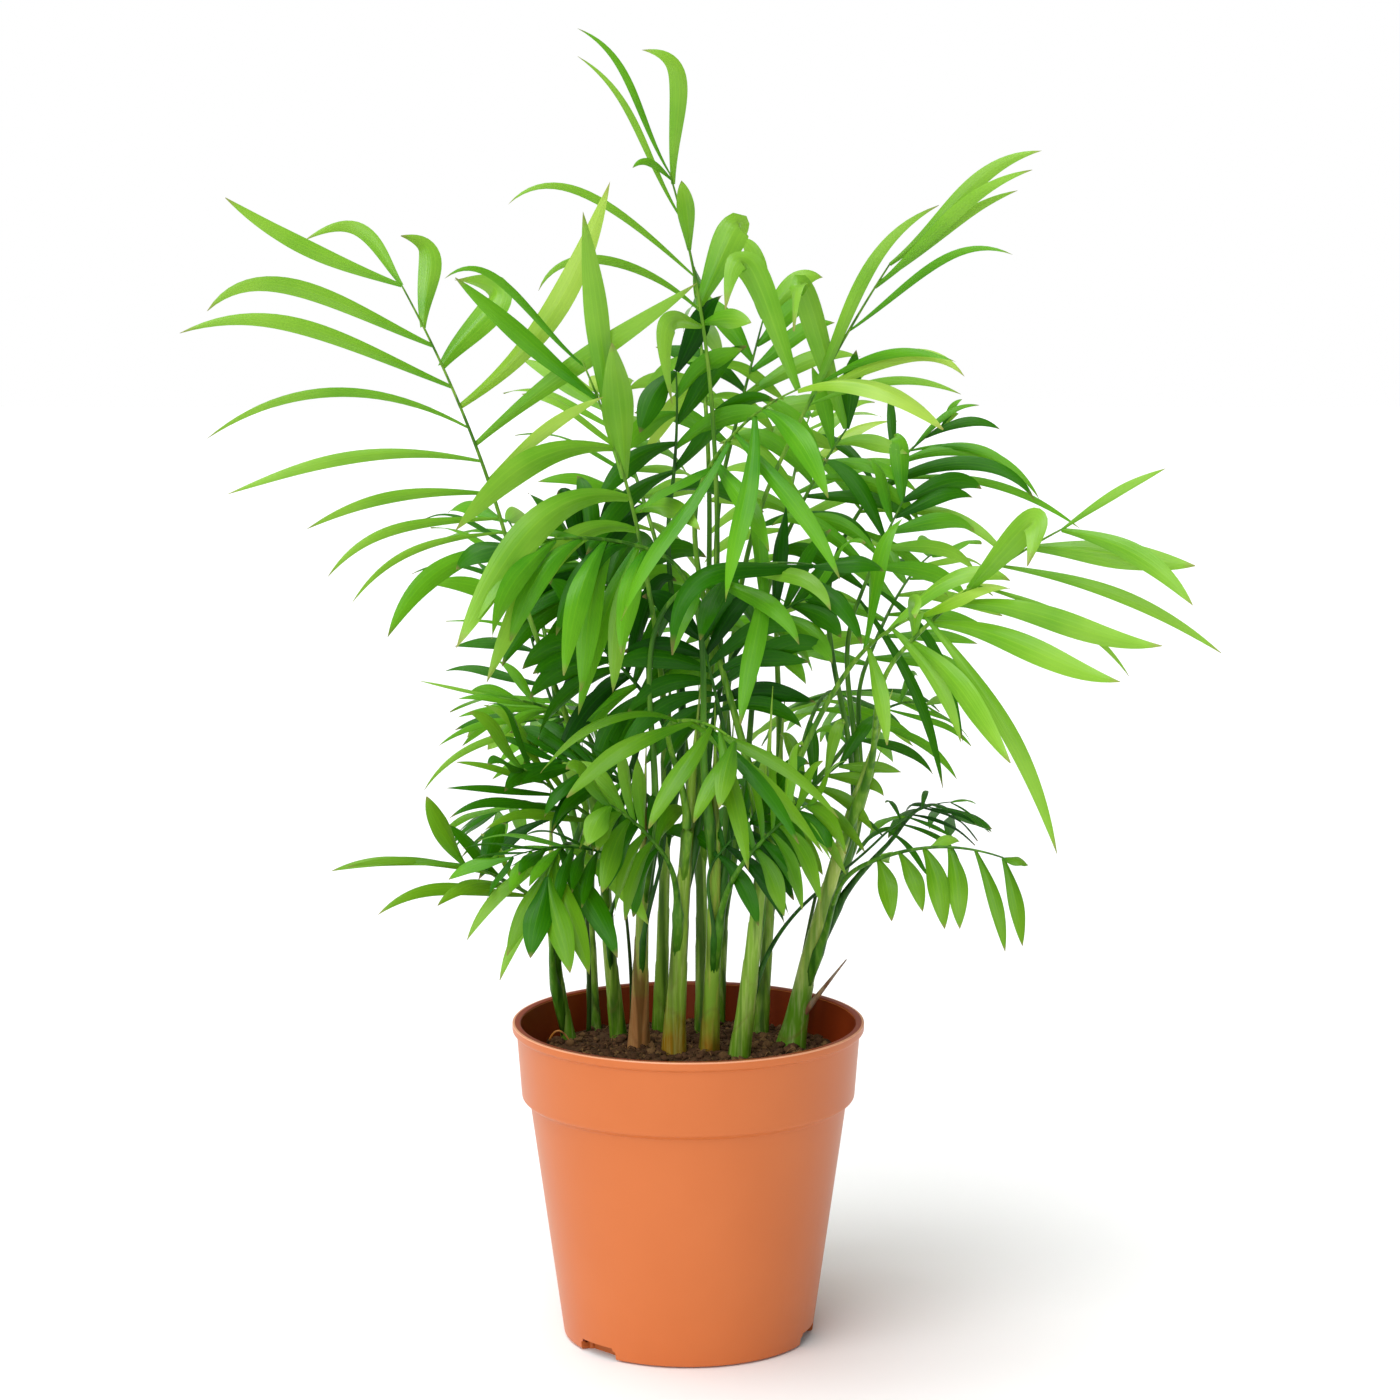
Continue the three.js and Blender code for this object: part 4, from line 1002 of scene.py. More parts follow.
# %% Leaflets that stand out
TIPS = {
    "left_high": {"L1": (-96, -62, 250, 0.35, 0.9, 8), "L2": (-108, -54, 260, 0.3, 0.8, 3),
        "L3": (-116, -50, 268, 0.25, 0.9, 4), "L4": (-123, -46, 283, 0.22, 0.35, 4.5),
        "L5": (-149, -44, 294, 0.3, 0.25, 5), "L6": (-155, -44, 312, 0.62, 0.7, 3.7),
        "L7": (-163, -44, 346, 0.22, 0.6, 6), "L8": (-154, -44, 353, 0.25, 1.3, 6.5),
        "L9": (-148, -40, 389, -0.2, -0.2, 6.5), "R1": (-27, -50, 326, 0.1, 0.2, 5),
        "R2": (3, -44, 362, 0.05, 0, 8), "R3": (-25, -30, 394, -1.0, -0.8, 9.5)},
    "top": {"L2": (-49, -14, 358, 0.85, 2.4, 3.6), "L3": (-59, -10, 386, 0.5, 1.3, 3.4),
        "L4": (-36, -6, 434, 0, 0.5, 2.8), "L5": (-18, -14, 398, 0.5, 1, 3.2),
        "L6": (-36, -6, 443, 0.1, 0.6, 2.9), "R1": (21, -6, 347, 0.2, 0.3, 8),
        "R3": (-2, -16, 394, 0, 0.3, 7)},
    "right_high": {"L1": (84, 18, 385, 0.3, 0.6, 5.5), "L2": (114, 4, 397, -0.05, 0.4, 5.5),
        "L3": (119, 26, 403, -0.1, 0.5, 6.5), "R1": (91, 0, 323, 0.35, 0.5, 3.5),
        "R2": (89, -4, 334, 0.45, 0.5, 4), "R3": (92, 0, 329, 0.35, 1.2, 5.5),
        "R4": (108, 6, 369, 0.25, 0.8, 3.4), "R5": (110, 14, 390, 0, 0.3, 4.5)},
    "right_wide": {"L1": (72, -76, 258, 0.75, 1.2, 8), "L3": (150, -80, 306, 0.1, 0.15, 4),
        "R1": (101, -96, 215, 0.2, 0.1, 9), "R2": (135, -98, 241, 0.25, -0.1, 9.5),
        "R3": (148, -96, 252, 0.25, -0.15, 9), "R4": (141, -70, 238, 0.3, 0.8, 3),
        "R5": (168, -84, 248, 0.2, 0.3, 5), "R6": (159, -86, 276, 0.1, 0, 10.5),
        "R7": (156, -106, 266, 0.3, 0.5, 7.5)},
    "right_hanging": {"R1": (65, -44, 212, 0.3, 0.8, 7), "R2": (88, -60, 215, 0.5, 1.4, 6),
        "R3": (118, -76, 182, 0.35, 0.9, 6.5)},
    "front_high": {"L1": (-15, -58, 290, 0.1, 0.2, 11), "L2": (-21, -74, 257, 0.1, 0.5, 9),
        "L3": (12, -82, 264, 0.2, 0.3, 9), "R1": (26, -66, 278, 0.2, 0.4, 8),
        "R2": (48, -80, 271, 0.2, 0.4, 7), "R3": (44, -84, 297, 0.5, 0.5, 9),
        "R4": (80, -80, 318, 0.65, 0.6, 11)},
    "left_inner": {"L1": (-63, -86, 239, 0.9, 0.8, 10), "L2": (-72, -94, 251, 0.75, 0.6, 12.5),
        "L3": (-73, -76, 286, 0.5, 0.45, 10), "L4": (-74, -50, 364, 0.02, 0, 7.5),
        "L5": (-77, -56, 364, 0.25, 1.2, 3.2), "R1": (-35, -64, 225, 0.4, 0.6, 8),
        "R2": (4, -56, 284, 0.3, 0.5, 8), "R3": (-24, -48, 343, 0.1, 0.1, 13),
        "R4": (-33, -54, 385, 0.05, 0.1, 9.5)},
    "front_right": {"L1": (-5, -46, 242), "L2": (4, -54, 248), "L3": (17, -60, 221),
        "R1": (36, -50, 246), "R2": (46, -56, 258), "R3": (56, -58, 247)},
    "front_left": {"L2": (-42, -66, 251, 0.9, 1, 8), "L4": (-56, -78, 251, 0.7, 0.8, 9),
        "R1": (-24, -62, 232, 0.3, 0.4, 8), "R2": (-34, -72, 234, 0.3, 0.4, 9)},
    "front_low": {"L1": (-47, -74, 208, 0.7, 0.8, 8), "L2": (-38, -90, 203, 0.35, 0.4, 9.5),
        "L3": (-12, -106, 196, 0.3, 0.3, 8.5), "L4": (2, -112, 199, 0.3, 0.3, 7),
        "R1": (48, -84, 195, 0.3, 0.5, 6), "R2": (43, -92, 185, 0.3, 0.4, 6.5),
        "R3": (35, -100, 190, 0.3, 0.4, 6.5), "R4": (19, -112, 184, 0.3, 0.3, 7),
        "R5": (10, -114, 204, 0.3, 0.3, 8)},
    "left_low": {"L1": (-102, -42, 155, 0.25, 0.6, 5.5), "L2": (-82, -46, 159, 0.3, 0.4, 6),
        "L3": (-113, -32, 169, 0.25, 0.3, 3.5), "L4": (-119, -24, 166, 0.2, 0.3, 5),
        "R3": (-62, 0, 178), "R4": (-87, -22, 191, 0.1, -0.2, 9.5)},
    "left_hanging": {"L1": (-74, -22, 142, 0.5, 0.8, 6), "L2": (-62, -42, 133, 0.3, 0.6, 6),
        "L3": (-59, -54, 144, 0.3, 0.4, 8), "L4": (-51, -62, 145),
        "R1": (-13, -30, 149, 0.5, 0.6, 9), "R2": (-23, -48, 142, 0.3, 0.4, 10),
        "R3": (-32, -60, 139, 0.3, 0.4, 9), "R4": (-38, -66, 141, 0.2, 0.3, 10)},
    "right_low": {"R1": (67, -42, 153, 0.5, 0.8, 8), "R2": (77, -46, 157, 0.4, 0.8, 7),
        "R3": (84, -50, 152, 0.6, 0.7, 8.5), "R4": (89, -50, 152, 0.6, 0.7, 8),
        "R5": (104, -48, 144, 0.6, 0.8, 5.5), "R6": (110, -44, 145, 0.7, 0.8, 6)},
    "right_upper": {"R1": (86, -2, 190, 0.4, 1.6, 4.5), "R2": (93, 4, 205, 0.9, 1.8, 4)},
    "left_thin": {"L1": (-89, -6, 190, 0.3, 1, 3), "L2": (-84, -4, 205, 0.15, 0.5, 3),
        "L3": (-78, 0, 214, 0.1, 0.3, 3), "L4": (-78, 2, 220, 0.1, 0.3, 3.4),
        "L5": (-91, 4, 226, 0, 0, 1.8), "R1": (-55, -16, 200, 0.2, 0.6, 5),
        "R2": (-63, -14, 209, 0.2, 0.5, 4)},
    "left_lower": {"L1": (-66, -50, 185, 0.2, 0.5, 4.5), "L2": (-78, -46, 188, 0.1, 0.6, 4.5),
        "L3": (-80, -40, 197, 0.1, 0.1, 4), "L4": (-76, -36, 205, 0.1, 0.2, 3.6)},
    "centre_inner": {"L1": (-38, 0, 258), "L2": (-34, -6, 270), "L3": (-30, -4, 288),
        "L4": (-22, -2, 304), "L5": (-16, -8, 311)},
    "back_top": {"L3": (-4, 92, 326), "L4": (-2, 98, 338), "L5": (4, 98, 342, 0, 0.4, 4),
        "R3": (12, 94, 328), "R4": (10, 100, 340), "R5": (8, 98, 342, 0, 0.4, 4)},
    "right_inner": {"R2": (109, 20, 265, 0.5, 1, 5), "R3": (118, 24, 285, 0.9, 1.8, 6),
        "R4": (135, 34, 274, 0.4, 0.5, 3.5), "R5": (114, 40, 290, 0.8, 1.6, 6),
        "R6": (120, 30, 285, 0.6, 1.2, 3.5), "R7": (108, 50, 307, 0.6, 0.8, 4.5),
        "R8": (95, 56, 317, 0.5, 0.6, 3), "L5": (101, 56, 315, 0.4, 0.6, 3),
        "L6": (94, 56, 312, 0.4, 0.6, 3)},
}
FOLDS = {
    "left_high": {"R4": (-77, -4, 361, -65, -2, 359, 13), "R5": (-94, -12, 376, -87, -6, 373, 9),
        "R6": (-124, -30, 375, -106, -24, 378, 5.5)},
    "top": {"L1": (-5, -30, 322, -6, -26, 348, 8), "R2": (17, 30, 369, 16, 14, 378, 13),
        "R4": (-15, -8, 436, -6, -8, 433, 7)},
    "front_high": {"L4": (12, -70, 355, 17, -58, 370, 11)},
    "right_wide": {"L2": (105, -104, 278, 108, -86, 290, 12)},
    "right_upper_inner": {"R6": (35, 0, 344, 37, 12, 359, 11)},
    "front_right": {"R4": (-5, -60, 244, 4, -56, 268, 9)},
}
PLACES = {
    "left_high": ((0.05, 0.1, 0.15, 0.24, 0.36, 0.48, 0.63, 0.78, 1), (0.29, 0.42, 0.56, 0.71, 0.85, 1)),
    "top": ((0.34, 0.4, 0.55, 0.79, 0.97, 1), (0.35, 0.43, 0.66, 0.95)),
    "left_inner": ((0.12, 0.29, 0.55, 0.8, 0.97), (0.06, 0.22, 0.39, 0.6)),
    "right_high": ((0.25, 0.88, 1), (0.3, 0.4, 0.36, 0.66, 0.9)),
}
print("leaflets with their own tip:", sum(len(tips) for tips in [*TIPS.values(), *FOLDS.values()]))


# %% [markdown]
# ### Stalk and midrib
# The stalk starts deep inside the sheath, leaves it with a small flare and curves away, so stem
# and stalk look grown, not stuck on. It thins all the way to the end of the midrib, and its upper
# side has a shallow groove. Both are one tube, so no seam shows where the stalk becomes midrib.

# %% Midrib and stalk curves
STALK_SPLAY = 0.25
STALK_START = 0.9
STALK_PULL = (0.38, 0.34)
STALK_R = (1.2, 0.75)
STALK_FLARE = 0.9
FLARE_SHARPNESS = 9
MIDRIB_TIP_R = 0.3
GROOVE = 0.8
STALK_RINGS = 28
STALK_SIDES = 10
HIDDEN_START = 24.0


def cubic(points, t):
    a, b, c, d = points
    return a * (1 - t) ** 3 + b * (3 * t * (1 - t) ** 2) + c * (3 * t * t * (1 - t)) + d * t ** 3


def frond_spine(frond):
    """Control points of the stalk (four) and of the midrib (three)."""
    stem = STEMS[frond["stem"]]
    axis = stem_axis(stem)
    leave = frond["leave"]
    start = quadratic(*axis, leave)
    neck, tip = Vector(frond["neck"]), Vector(frond["tip"])
    outward = neck - start
    outward.z = 0
    outward.normalize()
    start = start + outward * (stem_radius(stem, leave) + STALK_START)
    heading = (quadratic_slope(*axis, leave) + outward * STALK_SPLAY).normalized()
    middle = (neck + tip) * 0.5 + Vector(frond["bow"])
    arrive = (middle - neck).normalized()
    length = (neck - start).length
    stalk = (start, start + heading * (length * STALK_PULL[0]),
             neck - arrive * (length * STALK_PULL[1]), neck)
    inside = quadratic(*axis, leave) - quadratic_slope(*axis, leave) * HIDDEN_START
    return stalk, (neck, middle, tip), inside


def face_direction(frond):
    azimuth, height = (math.radians(a) for a in frond["face"])
    level = math.cos(height)
    return Vector((level * math.cos(azimuth), level * math.sin(azimuth), math.sin(height)))


def stalk_centres(frond):
    """Points along the stalk and midrib, with the radius at each."""
    stalk, midrib, inside = frond_spine(frond)
    centres = [inside]
    radii = [STALK_R[0]]
    for i in range(STALK_RINGS + 1):
        t = i / STALK_RINGS
        centres.append(cubic(stalk, t))
        flare = STALK_FLARE * math.exp(-FLARE_SHARPNESS * t)
        radii.append(STALK_R[0] + (STALK_R[1] - STALK_R[0]) * t + flare)
    for i in range(1, STALK_RINGS + 1):
        t = i / STALK_RINGS
        centres.append(quadratic(*midrib, t))
        radii.append(STALK_R[1] + (MIDRIB_TIP_R - STALK_R[1]) * t)
    return centres, radii


def stalk_rows(frond, slim):
    centres, radii = stalk_centres(frond)
    hint = face_direction(frond)
    rows = []
    for i, centre in enumerate(centres):
        tangent = centres[min(i + 1, len(centres) - 1)] - centres[max(i - 1, 0)]
        tangent.normalize()
        normal, side = cross_frame(tangent, hint)
        row = []
        for k in range(STALK_SIDES):
            angle = 2 * math.pi * k / STALK_SIDES
            groove = GROOVE if k == 0 else 1.0
            reach = radii[i] * groove * slim
            row.append(centre + normal * (reach * math.cos(angle)) + side * (reach * math.sin(angle)))
        rows.append(row)
    return np.array(rows)


stalks = {tone: Collector() for tone in ("bright", "mid", "deep")}
for name, frond in FRONDS.items():
    stalks[frond["tone"]].tube(stalk_rows(frond, SLIM if name in SLIM_STALKS else 1))
print("stalk points:", {tone: collector.count for tone, collector in stalks.items()})


# %% [markdown]
# ### Leaflets
# A leaflet is a strap: narrow at its foot, nearly even in the middle and drawn to a long point. It
# is folded like a roof along its middle vein, which flattens towards the tip, with a weaker pleat
# either side and a slight ripple along its edges. It leaves the midrib stiffly, arches, and ends
# turned towards the ground, so its curve has four control points.

# %% Shape of a leaflet
LEAFLET_ROWS = 22
LEAFLET_COLUMNS = 7
ROOF_FOOT = 40
ROOF_TIP = 12
ROOF_OPENING = 1.6
PLEAT = 0.14
PLEAT_PLACE = (0.5, 0.8)
PLEAT_FADE = 4
RIPPLE = 0.04
RIPPLE_WAVES = 8
RIPPLE_SHIFT = 6
RIPPLE_SIDES = 2
FOOT_WIDTH = 0.25
SHOULDER = 0.6
POINT_SHARPNESS = 3.6
POINT_WIDTH = 0.012
POINT_FULLNESS = 0.9
TRAITS = ("spread", "hang", "ripple", "length", "droop", "roll", "twist", "width", "shade")


def differ(number, trait):
    """How far a leaflet strays from the rule in one trait, from -1 to 1."""
    return wobble(number, TRAITS.index(trait) + 1)


def leaflet_width(t):
    """Width at t, against the widest."""
    opening = FOOT_WIDTH + (1 - FOOT_WIDTH) * math.sin(0.5 * math.pi * min(1, t / SHOULDER))
    return opening * max(POINT_WIDTH, 1 - t ** POINT_SHARPNESS) ** POINT_FULLNESS


def cubic_slope(points, t):
    a, b, c, d = points
    return ((b - a) * (1 - t) ** 2 + (c - b) * (2 * t * (1 - t)) + (d - c) * t ** 2).normalized()


def leaflet_rows(line, normal, width, roll, twist, number):
    """Points of one leaflet along a curve of four control points."""
    rows = []
    across = np.linspace(-1, 1, LEAFLET_COLUMNS)
    shift = RIPPLE_SHIFT * differ(number, "ripple")
    for i in range(LEAFLET_ROWS + 1):
        t = i / LEAFLET_ROWS
        centre = cubic(line, t)
        up, side = cross_frame(cubic_slope(line, t), normal)
        turn = math.radians(roll + twist * t)
        up, side = (up * math.cos(turn) + side * math.sin(turn),
                    side * math.cos(turn) - up * math.sin(turn))
        roof = math.radians(ROOF_FOOT + (ROOF_TIP - ROOF_FOOT) * min(1, t * ROOF_OPENING))
        half = 0.5 * width * leaflet_width(t)
        row = []
        for s in across:
            reach = half * abs(s)
            wave = RIPPLE_WAVES * t + shift + (RIPPLE_SIDES if s > 0 else 0)
            ripple = RIPPLE * width * abs(s) * math.sin(wave)
            pleat = PLEAT if PLEAT_PLACE[0] < abs(s) < PLEAT_PLACE[1] else 0
            drop = reach * math.sin(roof) - pleat * min(1, PLEAT_FADE * (1 - t)) - ripple * t
            row.append(centre + side * (math.copysign(reach * math.cos(roof), s)) - up * drop)
        rows.append(row)
    v, u = np.meshgrid(np.linspace(0, 1, LEAFLET_ROWS + 1), np.linspace(0, 1, LEAFLET_COLUMNS),
                       indexing="ij")
    return np.array(rows), np.stack([u, v], axis=-1)


print("points in a leaflet:", (LEAFLET_ROWS + 1) * LEAFLET_COLUMNS)

# %% [markdown]
# ### Where each leaflet grows
# The leaflets of one side stand a little closer where the midrib starts, and the two sides take
# turns. A leaflet without a tip of its own follows its frond's reach, spread and droop. One with a
# tip of its own heads almost straight for it. Leaflets that stand out also turn their upper side a
# little outwards, as leaves at the edge of a plant do to meet the light.

# %% Leaflets of a frond
SHORTEST = 0.72
EARLY_LENGTH = 0.08
LAST_DROOP = 0.4
LEAVE_SHARE = 0.42
ARRIVE_SHARE = 0.36
ARCH = 0.3
OWN_HEADING = 0.15
LEAFLET_BEND = 0.35
TERMINAL_WIDTH = 1.2
FOLD_LATEST = 0.78
OUTWARD = Vector((0, -1, 0.5)).normalized()
FOLD_STIFFNESS = 0.62
SHADED_LENGTH = 1.15
SPREAD_UNEVEN = 5
WIDTH_UNEVEN = 0.1
HANG_UNEVEN = 0.7
LENGTH_UNEVEN = 0.12
DROOP_UNEVEN = 0.25
FIRST_PLACE = 0.3
TURNS_APART = 0.3
END_PLACE = 0.4
CROWDING = 1.15
NUMBERS_PER_FROND = 40
NUMBERS_PER_SIDE = 20


def length_share(u):
    phase = min(1, u * (1 + 2 * EARLY_LENGTH) + EARLY_LENGTH)
    return SHORTEST + (1 - SHORTEST) * math.sin(math.pi * phase)


def leaflet_line(start, heading, end, hang):
    """Leaves along the heading, ends turned towards the ground."""
    run = end - start
    chord = run.normalized()
    arrive = (chord + Vector((0, 0, -hang))).normalized()
    return (start, start + heading * (run.length * LEAVE_SHARE),
            end - arrive * (run.length * ARRIVE_SHARE), end)


def folded_line(start, corner, end):
    """Rises to the corner and topples over it to the end."""
    before, after = (corner - start).length, (end - corner).length
    t = min(FOLD_LATEST, before / (before + after))
    rise = start + (corner - start) * FOLD_STIFFNESS
    rest = start * (1 - t) ** 3 + rise * (3 * t * (1 - t) ** 2) + end * t ** 3
    return start, rise, (corner - rest) / (3 * t * t * (1 - t)), end


def evenly_spaced(k, which, count):
    """Where leaflet k leaves the midrib. The two sides take turns, and share the midrib's end."""
    if k == count - 1:
        return 1
    return ((k + FIRST_PLACE + TURNS_APART * which) / (count - END_PLACE)) ** CROWDING


def own_tip(tip, start, heading, hang, width):
    """Curve and width of a leaflet that has a tip of its own."""
    end = Vector(tip[:3])
    arch, hang, width = tip[3:] or (ARCH, hang, width)
    chord = (end - start).normalized()
    level = math.sqrt(1 - chord.z ** 2)
    heading = (chord + OWN_HEADING * heading + Vector((0, 0, arch * level))).normalized()
    return leaflet_line(start, heading, end, hang), width


def ruled_line(frond, which, u, start, heading, hang, number):
    """Curve of a leaflet that follows its frond's reach, spread and droop."""
    length = frond["reach"][which] * length_share(u) * (1 + LENGTH_UNEVEN * differ(number, "length"))
    length *= SHADED_LENGTH if frond["tone"] == "deep" else 1
    droop = frond["droop"][which] * (1 + (LAST_DROOP - 1) * u) + DROOP_UNEVEN * differ(number, "droop")
    end = start + (heading - Vector((0, 0, droop))).normalized() * length
    heading = (heading + LEAFLET_BEND * (end - start).normalized()).normalized()
    return leaflet_line(start, heading, end, hang)


def frond_leaflets(name, frond, seed):
    """Yields the label, curve, upper side, width and number of each leaflet."""
    midrib = frond_spine(frond)[1]
    tips = TIPS.get(name, {})
    folds = FOLDS.get(name, {})
    places = PLACES.get(name)
    for which, (side, letter) in enumerate(((-1, "L"), (1, "R"))):
        count = frond["pairs"][which]
        low, high = frond["spread"][which * 2:which * 2 + 2]
        for k in range(count):
            label = f"{letter}{k + 1}"
            number = seed * NUMBERS_PER_FROND + which * NUMBERS_PER_SIDE + k
            u = places[which][k] if places else evenly_spaced(k, which, count)
            start = quadratic(*midrib, u)
            along = quadratic_slope(*midrib, u)
            normal = cross_frame(along, face_direction(frond))[0]
            spread = math.radians(low + (high - low) * u + SPREAD_UNEVEN * differ(number, "spread"))
            heading = along * math.cos(spread) + along.cross(normal) * (side * math.sin(spread))
            wider = TERMINAL_WIDTH if k == count - 1 else 1 + WIDTH_UNEVEN * differ(number, "width")
            width = frond["width"] * wider
            hang = frond["hang"] * (1 + HANG_UNEVEN * differ(number, "hang"))
            if label in folds:
                end, corner, width = Vector(folds[label][:3]), Vector(folds[label][3:6]), folds[label][6]
                line = folded_line(start, corner, end)
            elif label in tips:
                line, width = own_tip(tips[label], start, heading, hang, width)
            else:
                line = ruled_line(frond, which, u, start, heading, hang, number)
            if label in folds or label in tips:
                normal = (normal + OUTWARD).normalized()
            yield label, line, normal, width, number


counts = [sum(frond["pairs"]) for frond in FRONDS.values()]
print("leaflets on a frond:", min(counts), "to", max(counts))

# %% [markdown]
# ### Dealing out the greens
# No two leaflets of a real frond are the same green: age, shade and angle all change it. Each
# frond has a tone, and each tone deals its leaflets out over neighbouring greens. A few leaflets
# that stand out have theirs picked. Low fronds see less sky and are older, so their middle green
# turns to olive. Leaflets roll and twist a little, and less so where their tip is set.

# %% Deal out the leaflets
ROLL = 20
TWIST = 44
OWN_TIP_TURN = 0.4
DEALING = 0.499
PICKED_SHADES = {
    "left_high": {"bright": "R2 L5", "light": "R3"},
    "left_inner": {"bright": "R3 R4"},
    "top": {"bright": "L1 R1 R2 R3 R4"},
    "right_upper_inner": {"bright": "R6"},
    "right_wide": {"bright": "R1 R2 R3"},
    "front_high": {"light": "R4", "mid": "L2 R1 R2"},
    "front_low": {"mid": "L1 L2 L3 L4 R1 R2 R4 R5", "deep": "R3"},
    "right_low": {"mid": "R1 R2 R3 R4 R5 R6"},
    "right_upper": {"deep": "R1 R2"},
}
LOW_FRONDS = {
    "front_low", "left_low", "left_hanging", "left_lower", "right_low", "low_centre", "low_right_front",
    "low_right", "inner_spray",
}
SHADES = {
    "bright": ("light", "bright", "bright", "bright", "mid"),
    "mid": ("bright", "mid", "mid", "mid", "deep"),
    "deep": ("mid", "deep", "deep", "deep", "dark"),
}


def leaflet_shade(name, label, tone, number):
    """The picked shade of a leaflet, or else one that its frond's tone deals out. DEALING is just
    under a half, so that the number drawn never passes the last shade."""
    shades = SHADES[tone]
    shade = shades[int((0.5 + DEALING * differ(number, "shade")) * len(shades))]
    for picked, labels in PICKED_SHADES.get(name, {}).items():
        if label in labels.split():
            shade = picked
    return "olive" if name in LOW_FRONDS and shade == "mid" else shade


leaflets = {shade: Collector() for shade in ("light", "bright", "olive", "mid", "deep", "dark")}
shade_nodes = {shade: set() for shade in leaflets}
leaflet_count = 0
for seed, (name, frond) in enumerate(FRONDS.items()):
    for label, line, normal, width, number in frond_leaflets(name, frond, seed):
        turn = OWN_TIP_TURN if label in TIPS.get(name, {}) else 1
        roll = ROLL * turn * differ(number, "roll")
        twist = TWIST * turn * differ(number, "twist")
        rows, uv = leaflet_rows(line, normal, width, roll, twist, number)
        shade = leaflet_shade(name, label, frond["tone"], number)
        leaflets[shade].grid(rows, uv=uv)
        shade_nodes[shade].add(frond_node(name))
        leaflet_count += 1
print("leaflets:", leaflet_count)


# %% [markdown]
# ### Living leaf
# A leaf is a thin wet sheet. Part of the light comes back from the waxy skin as a soft gloss, part
# comes back green, and part passes through and comes out yellower. So each leaf shader mixes a
# glossy surface with a translucent one. Parallel veins run along the leaflet and lift the skin a
# little. A real leaflet has dozens, too fine to show, so fewer and broader ones are drawn, about a
# millimetre apart. The colour is paler and yellower in soft patches and towards the end. This is
# partly younger leaf, and partly painted sheen and painted light shining through. The last few
# millimetres have dried to tan. Six greens go from the youngest, most lit leaf to the oldest, most
# shaded one. So they are partly lit and shaded copies, with painted light and shade in them. The
# darker ones are also less glossy and let less light through.

# %% Leaf materials
DRY_POINT = "#9a7c52"
PATCH_SIZE = 22.2
YOUNG_END = 0.7
VEINS_ACROSS = 16
VEIN_BREAKS = 0.5
VEIN_DEPTH = 0.3


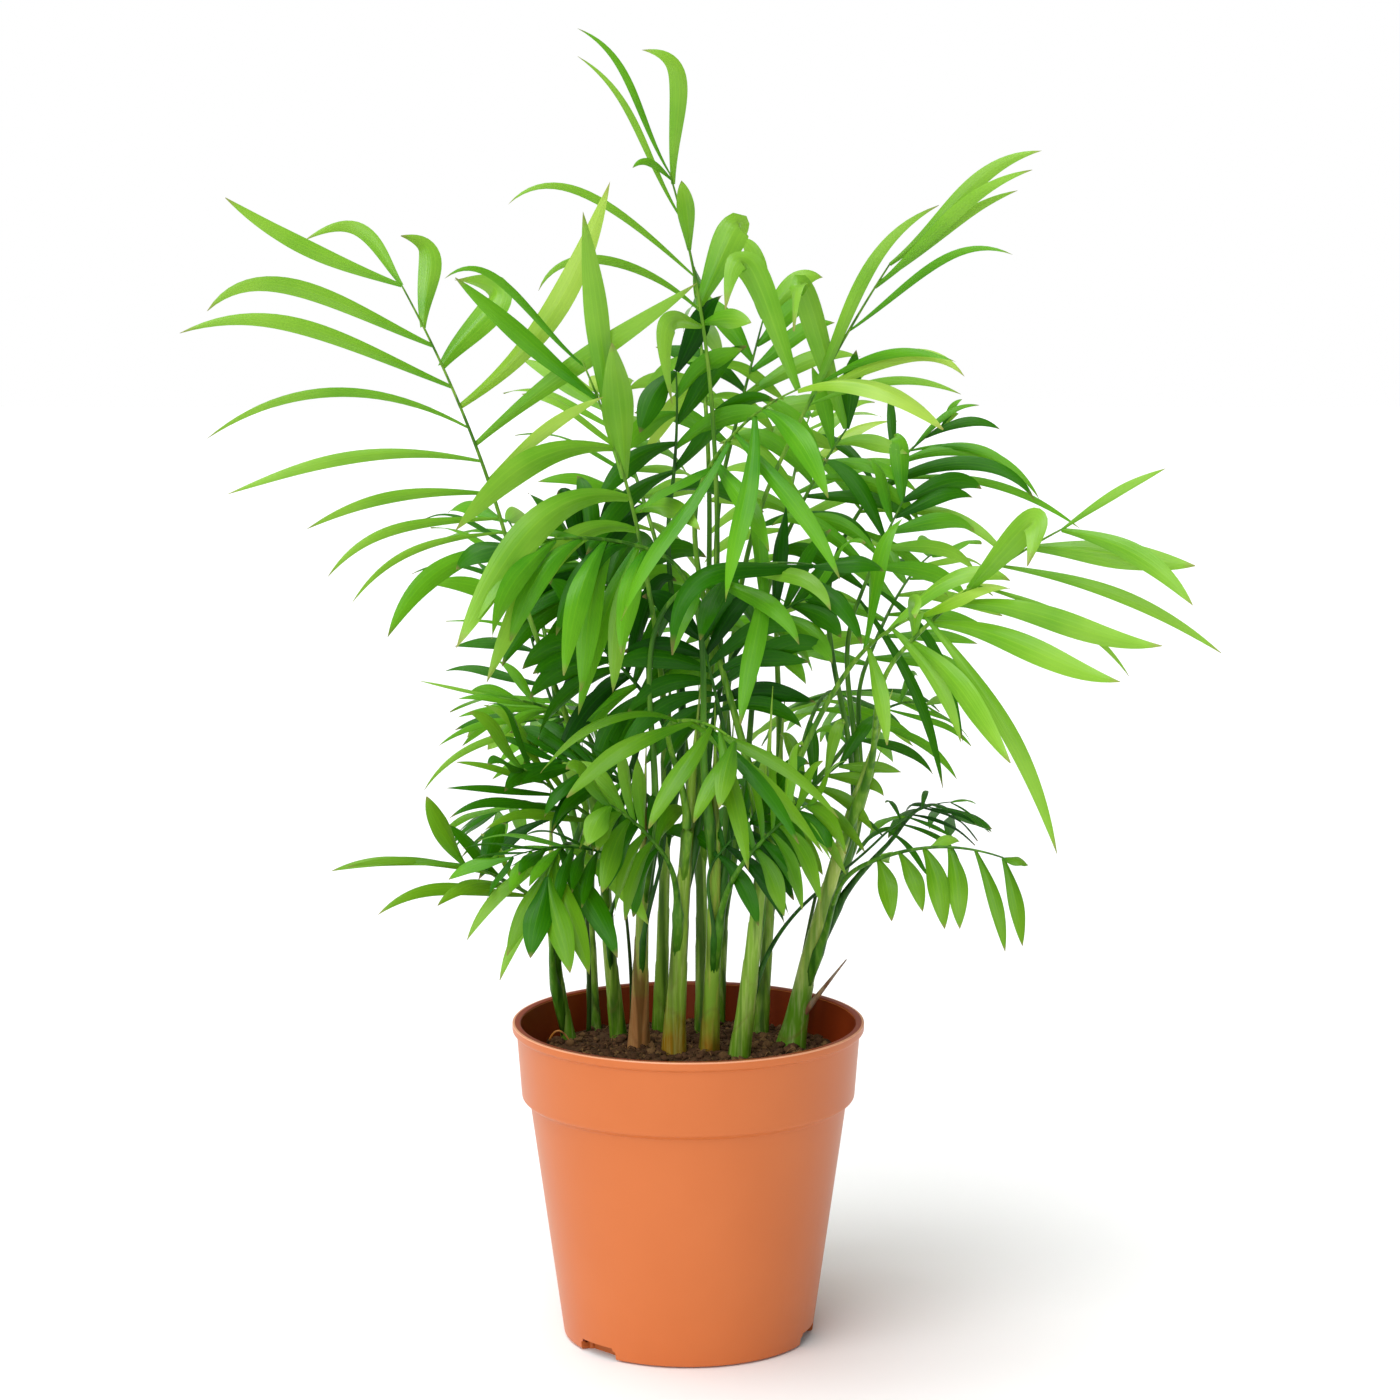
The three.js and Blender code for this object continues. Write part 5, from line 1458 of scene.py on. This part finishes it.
def living_leaf(name, face_hex, young_and_sheen_hex, glow_hex, glow, gloss):
    material, tree, shader, place = start_material(name, roughness=0.3, gloss=gloss, ior=1.42)
    output = tree.nodes["Material Output"]
    along = add_node(tree, "ShaderNodeSeparateXYZ", {}, {"Vector": place.outputs["UV"]})
    # Paler patches and ends: partly younger leaf, and partly painted sheen and painted light shining
    # through.
    patches = add_node(tree, "ShaderNodeTexNoise", {"Scale": spots_per_metre(PATCH_SIZE), "Detail": 2},
                       {"Vector": place.outputs["Object"]})
    youth_and_sheen = add_node(tree, "ShaderNodeMath", {"operation": "MULTIPLY_ADD", 1: YOUNG_END},
                        {0: along.outputs["Y"], 2: patches.outputs["Fac"]})
    contrast = add_node(tree, "ShaderNodeMapRange", {"From Min": 0.45, "From Max": 1.1},
                        {"Value": youth_and_sheen.outputs["Value"]})
    tint = add_node(tree, "ShaderNodeMix",
                    {"data_type": "RGBA", 6: linear(face_hex), 7: linear(young_and_sheen_hex)},
                    {0: contrast.outputs["Result"]})
    stretch = add_node(tree, "ShaderNodeMapping", {"Scale": (VEINS_ACROSS, VEIN_BREAKS, 1)},
                       {"Vector": place.outputs["UV"]})
    veins = add_node(tree, "ShaderNodeTexNoise", {"Scale": 1, "Detail": 2},
                     {"Vector": stretch.outputs["Vector"]})
    vein_lines = add_node(tree, "ShaderNodeMapRange", {"From Min": 0.5, "From Max": 0.72, "To Max": 0.4},
                          {"Value": veins.outputs["Fac"]})
    veined = add_node(tree, "ShaderNodeMix", {"data_type": "RGBA", 7: linear(glow_hex)},
                      {0: vein_lines.outputs["Result"], 6: tint.outputs[2]})
    dry = add_node(tree, "ShaderNodeMapRange", {"From Min": 0.93, "From Max": 1.0, "To Max": 0.8},
                   {"Value": along.outputs["Y"]})
    dried = add_node(tree, "ShaderNodeMix", {"data_type": "RGBA", 7: linear(DRY_POINT)},
                     {0: dry.outputs["Result"], 6: veined.outputs[2]})
    bump = add_node(tree, "ShaderNodeBump", {"Strength": 0.5, "Distance": VEIN_DEPTH * MM},
                    {"Height": veins.outputs["Fac"]})
    through = add_node(tree, "ShaderNodeBsdfTranslucent", {"Color": linear(glow_hex)},
                       {"Normal": bump.outputs["Normal"]})
    mixed = add_node(tree, "ShaderNodeMixShader", {"Fac": glow},
                     {1: shader.outputs["BSDF"], 2: through.outputs["BSDF"]})
    tree.links.new(dried.outputs[2], shader.inputs["Base Color"])
    tree.links.new(bump.outputs["Normal"], shader.inputs["Normal"])
    tree.links.new(mixed.outputs["Shader"], output.inputs["Surface"])
    return material


# Lit and shaded copies: the lighter greens carry painted light, and the darker ones carry painted shade.
leaf_materials = {
    "light": living_leaf("sunlit_youngest_palm_leaf", "#6ca80c", "#a6cc50", "#bce04c", 0.3, 0.5),
    "bright": living_leaf("sunlit_young_palm_leaf", "#4c980a", "#84ba38", "#9cd038", 0.28, 0.46),
    "olive": living_leaf("olive_palm_leaf", "#327804", "#649a1c", "#84b61e", 0.24, 0.34),
    "mid": living_leaf("grown_palm_leaf", "#2a8004", "#60a61e", "#82c220", 0.25, 0.32),
    "deep": living_leaf("shaded_palm_leaf", "#0e5001", "#2a6e02", "#509208", 0.18, 0.2),
    "dark": living_leaf("deep_shaded_old_palm_leaf", "#043200", "#124a00", "#2c7004", 0.14, 0.18),
}
print("leaf materials:", [material.name for material in leaf_materials.values()])

# %% [markdown]
# ### Putting the leaves together
# All leaflets of one green become one piece, and so do all stalks of one tone, which keeps the
# scene light. Each piece replaces the solid blades of every frond that it holds a part of.

# %% Build leaflets and stalks
stalk_materials = {
    "bright": leaf_sheath("sunlit_leaf_stalk", "#5c8a1c", "#5f9020", "#a0c04c", "#2c6408", 60),
    "mid": leaf_sheath("grown_leaf_stalk", "#487814", "#467c16", "#84a840", "#1c5004", 60),
    "deep": leaf_sheath("shaded_leaf_stalk", "#28580c", "#28600c", "#5c8830", "#0c3c02", 60),
}
for shade, collector in leaflets.items():
    collector.build("leaflets_" + shade, [leaf_materials[shade]], "frond", sorted(shade_nodes[shade]))
for tone, collector in stalks.items():
    owners = {frond_node(name) for name, frond in FRONDS.items() if frond["tone"] == tone}
    collector.build("frond_stalks_" + tone, [stalk_materials[tone]], "frond", sorted(owners))

# %% [markdown]
# ## Finish
# The last cell updates the scene.

# %% Finish
bpy.context.view_layer.update()
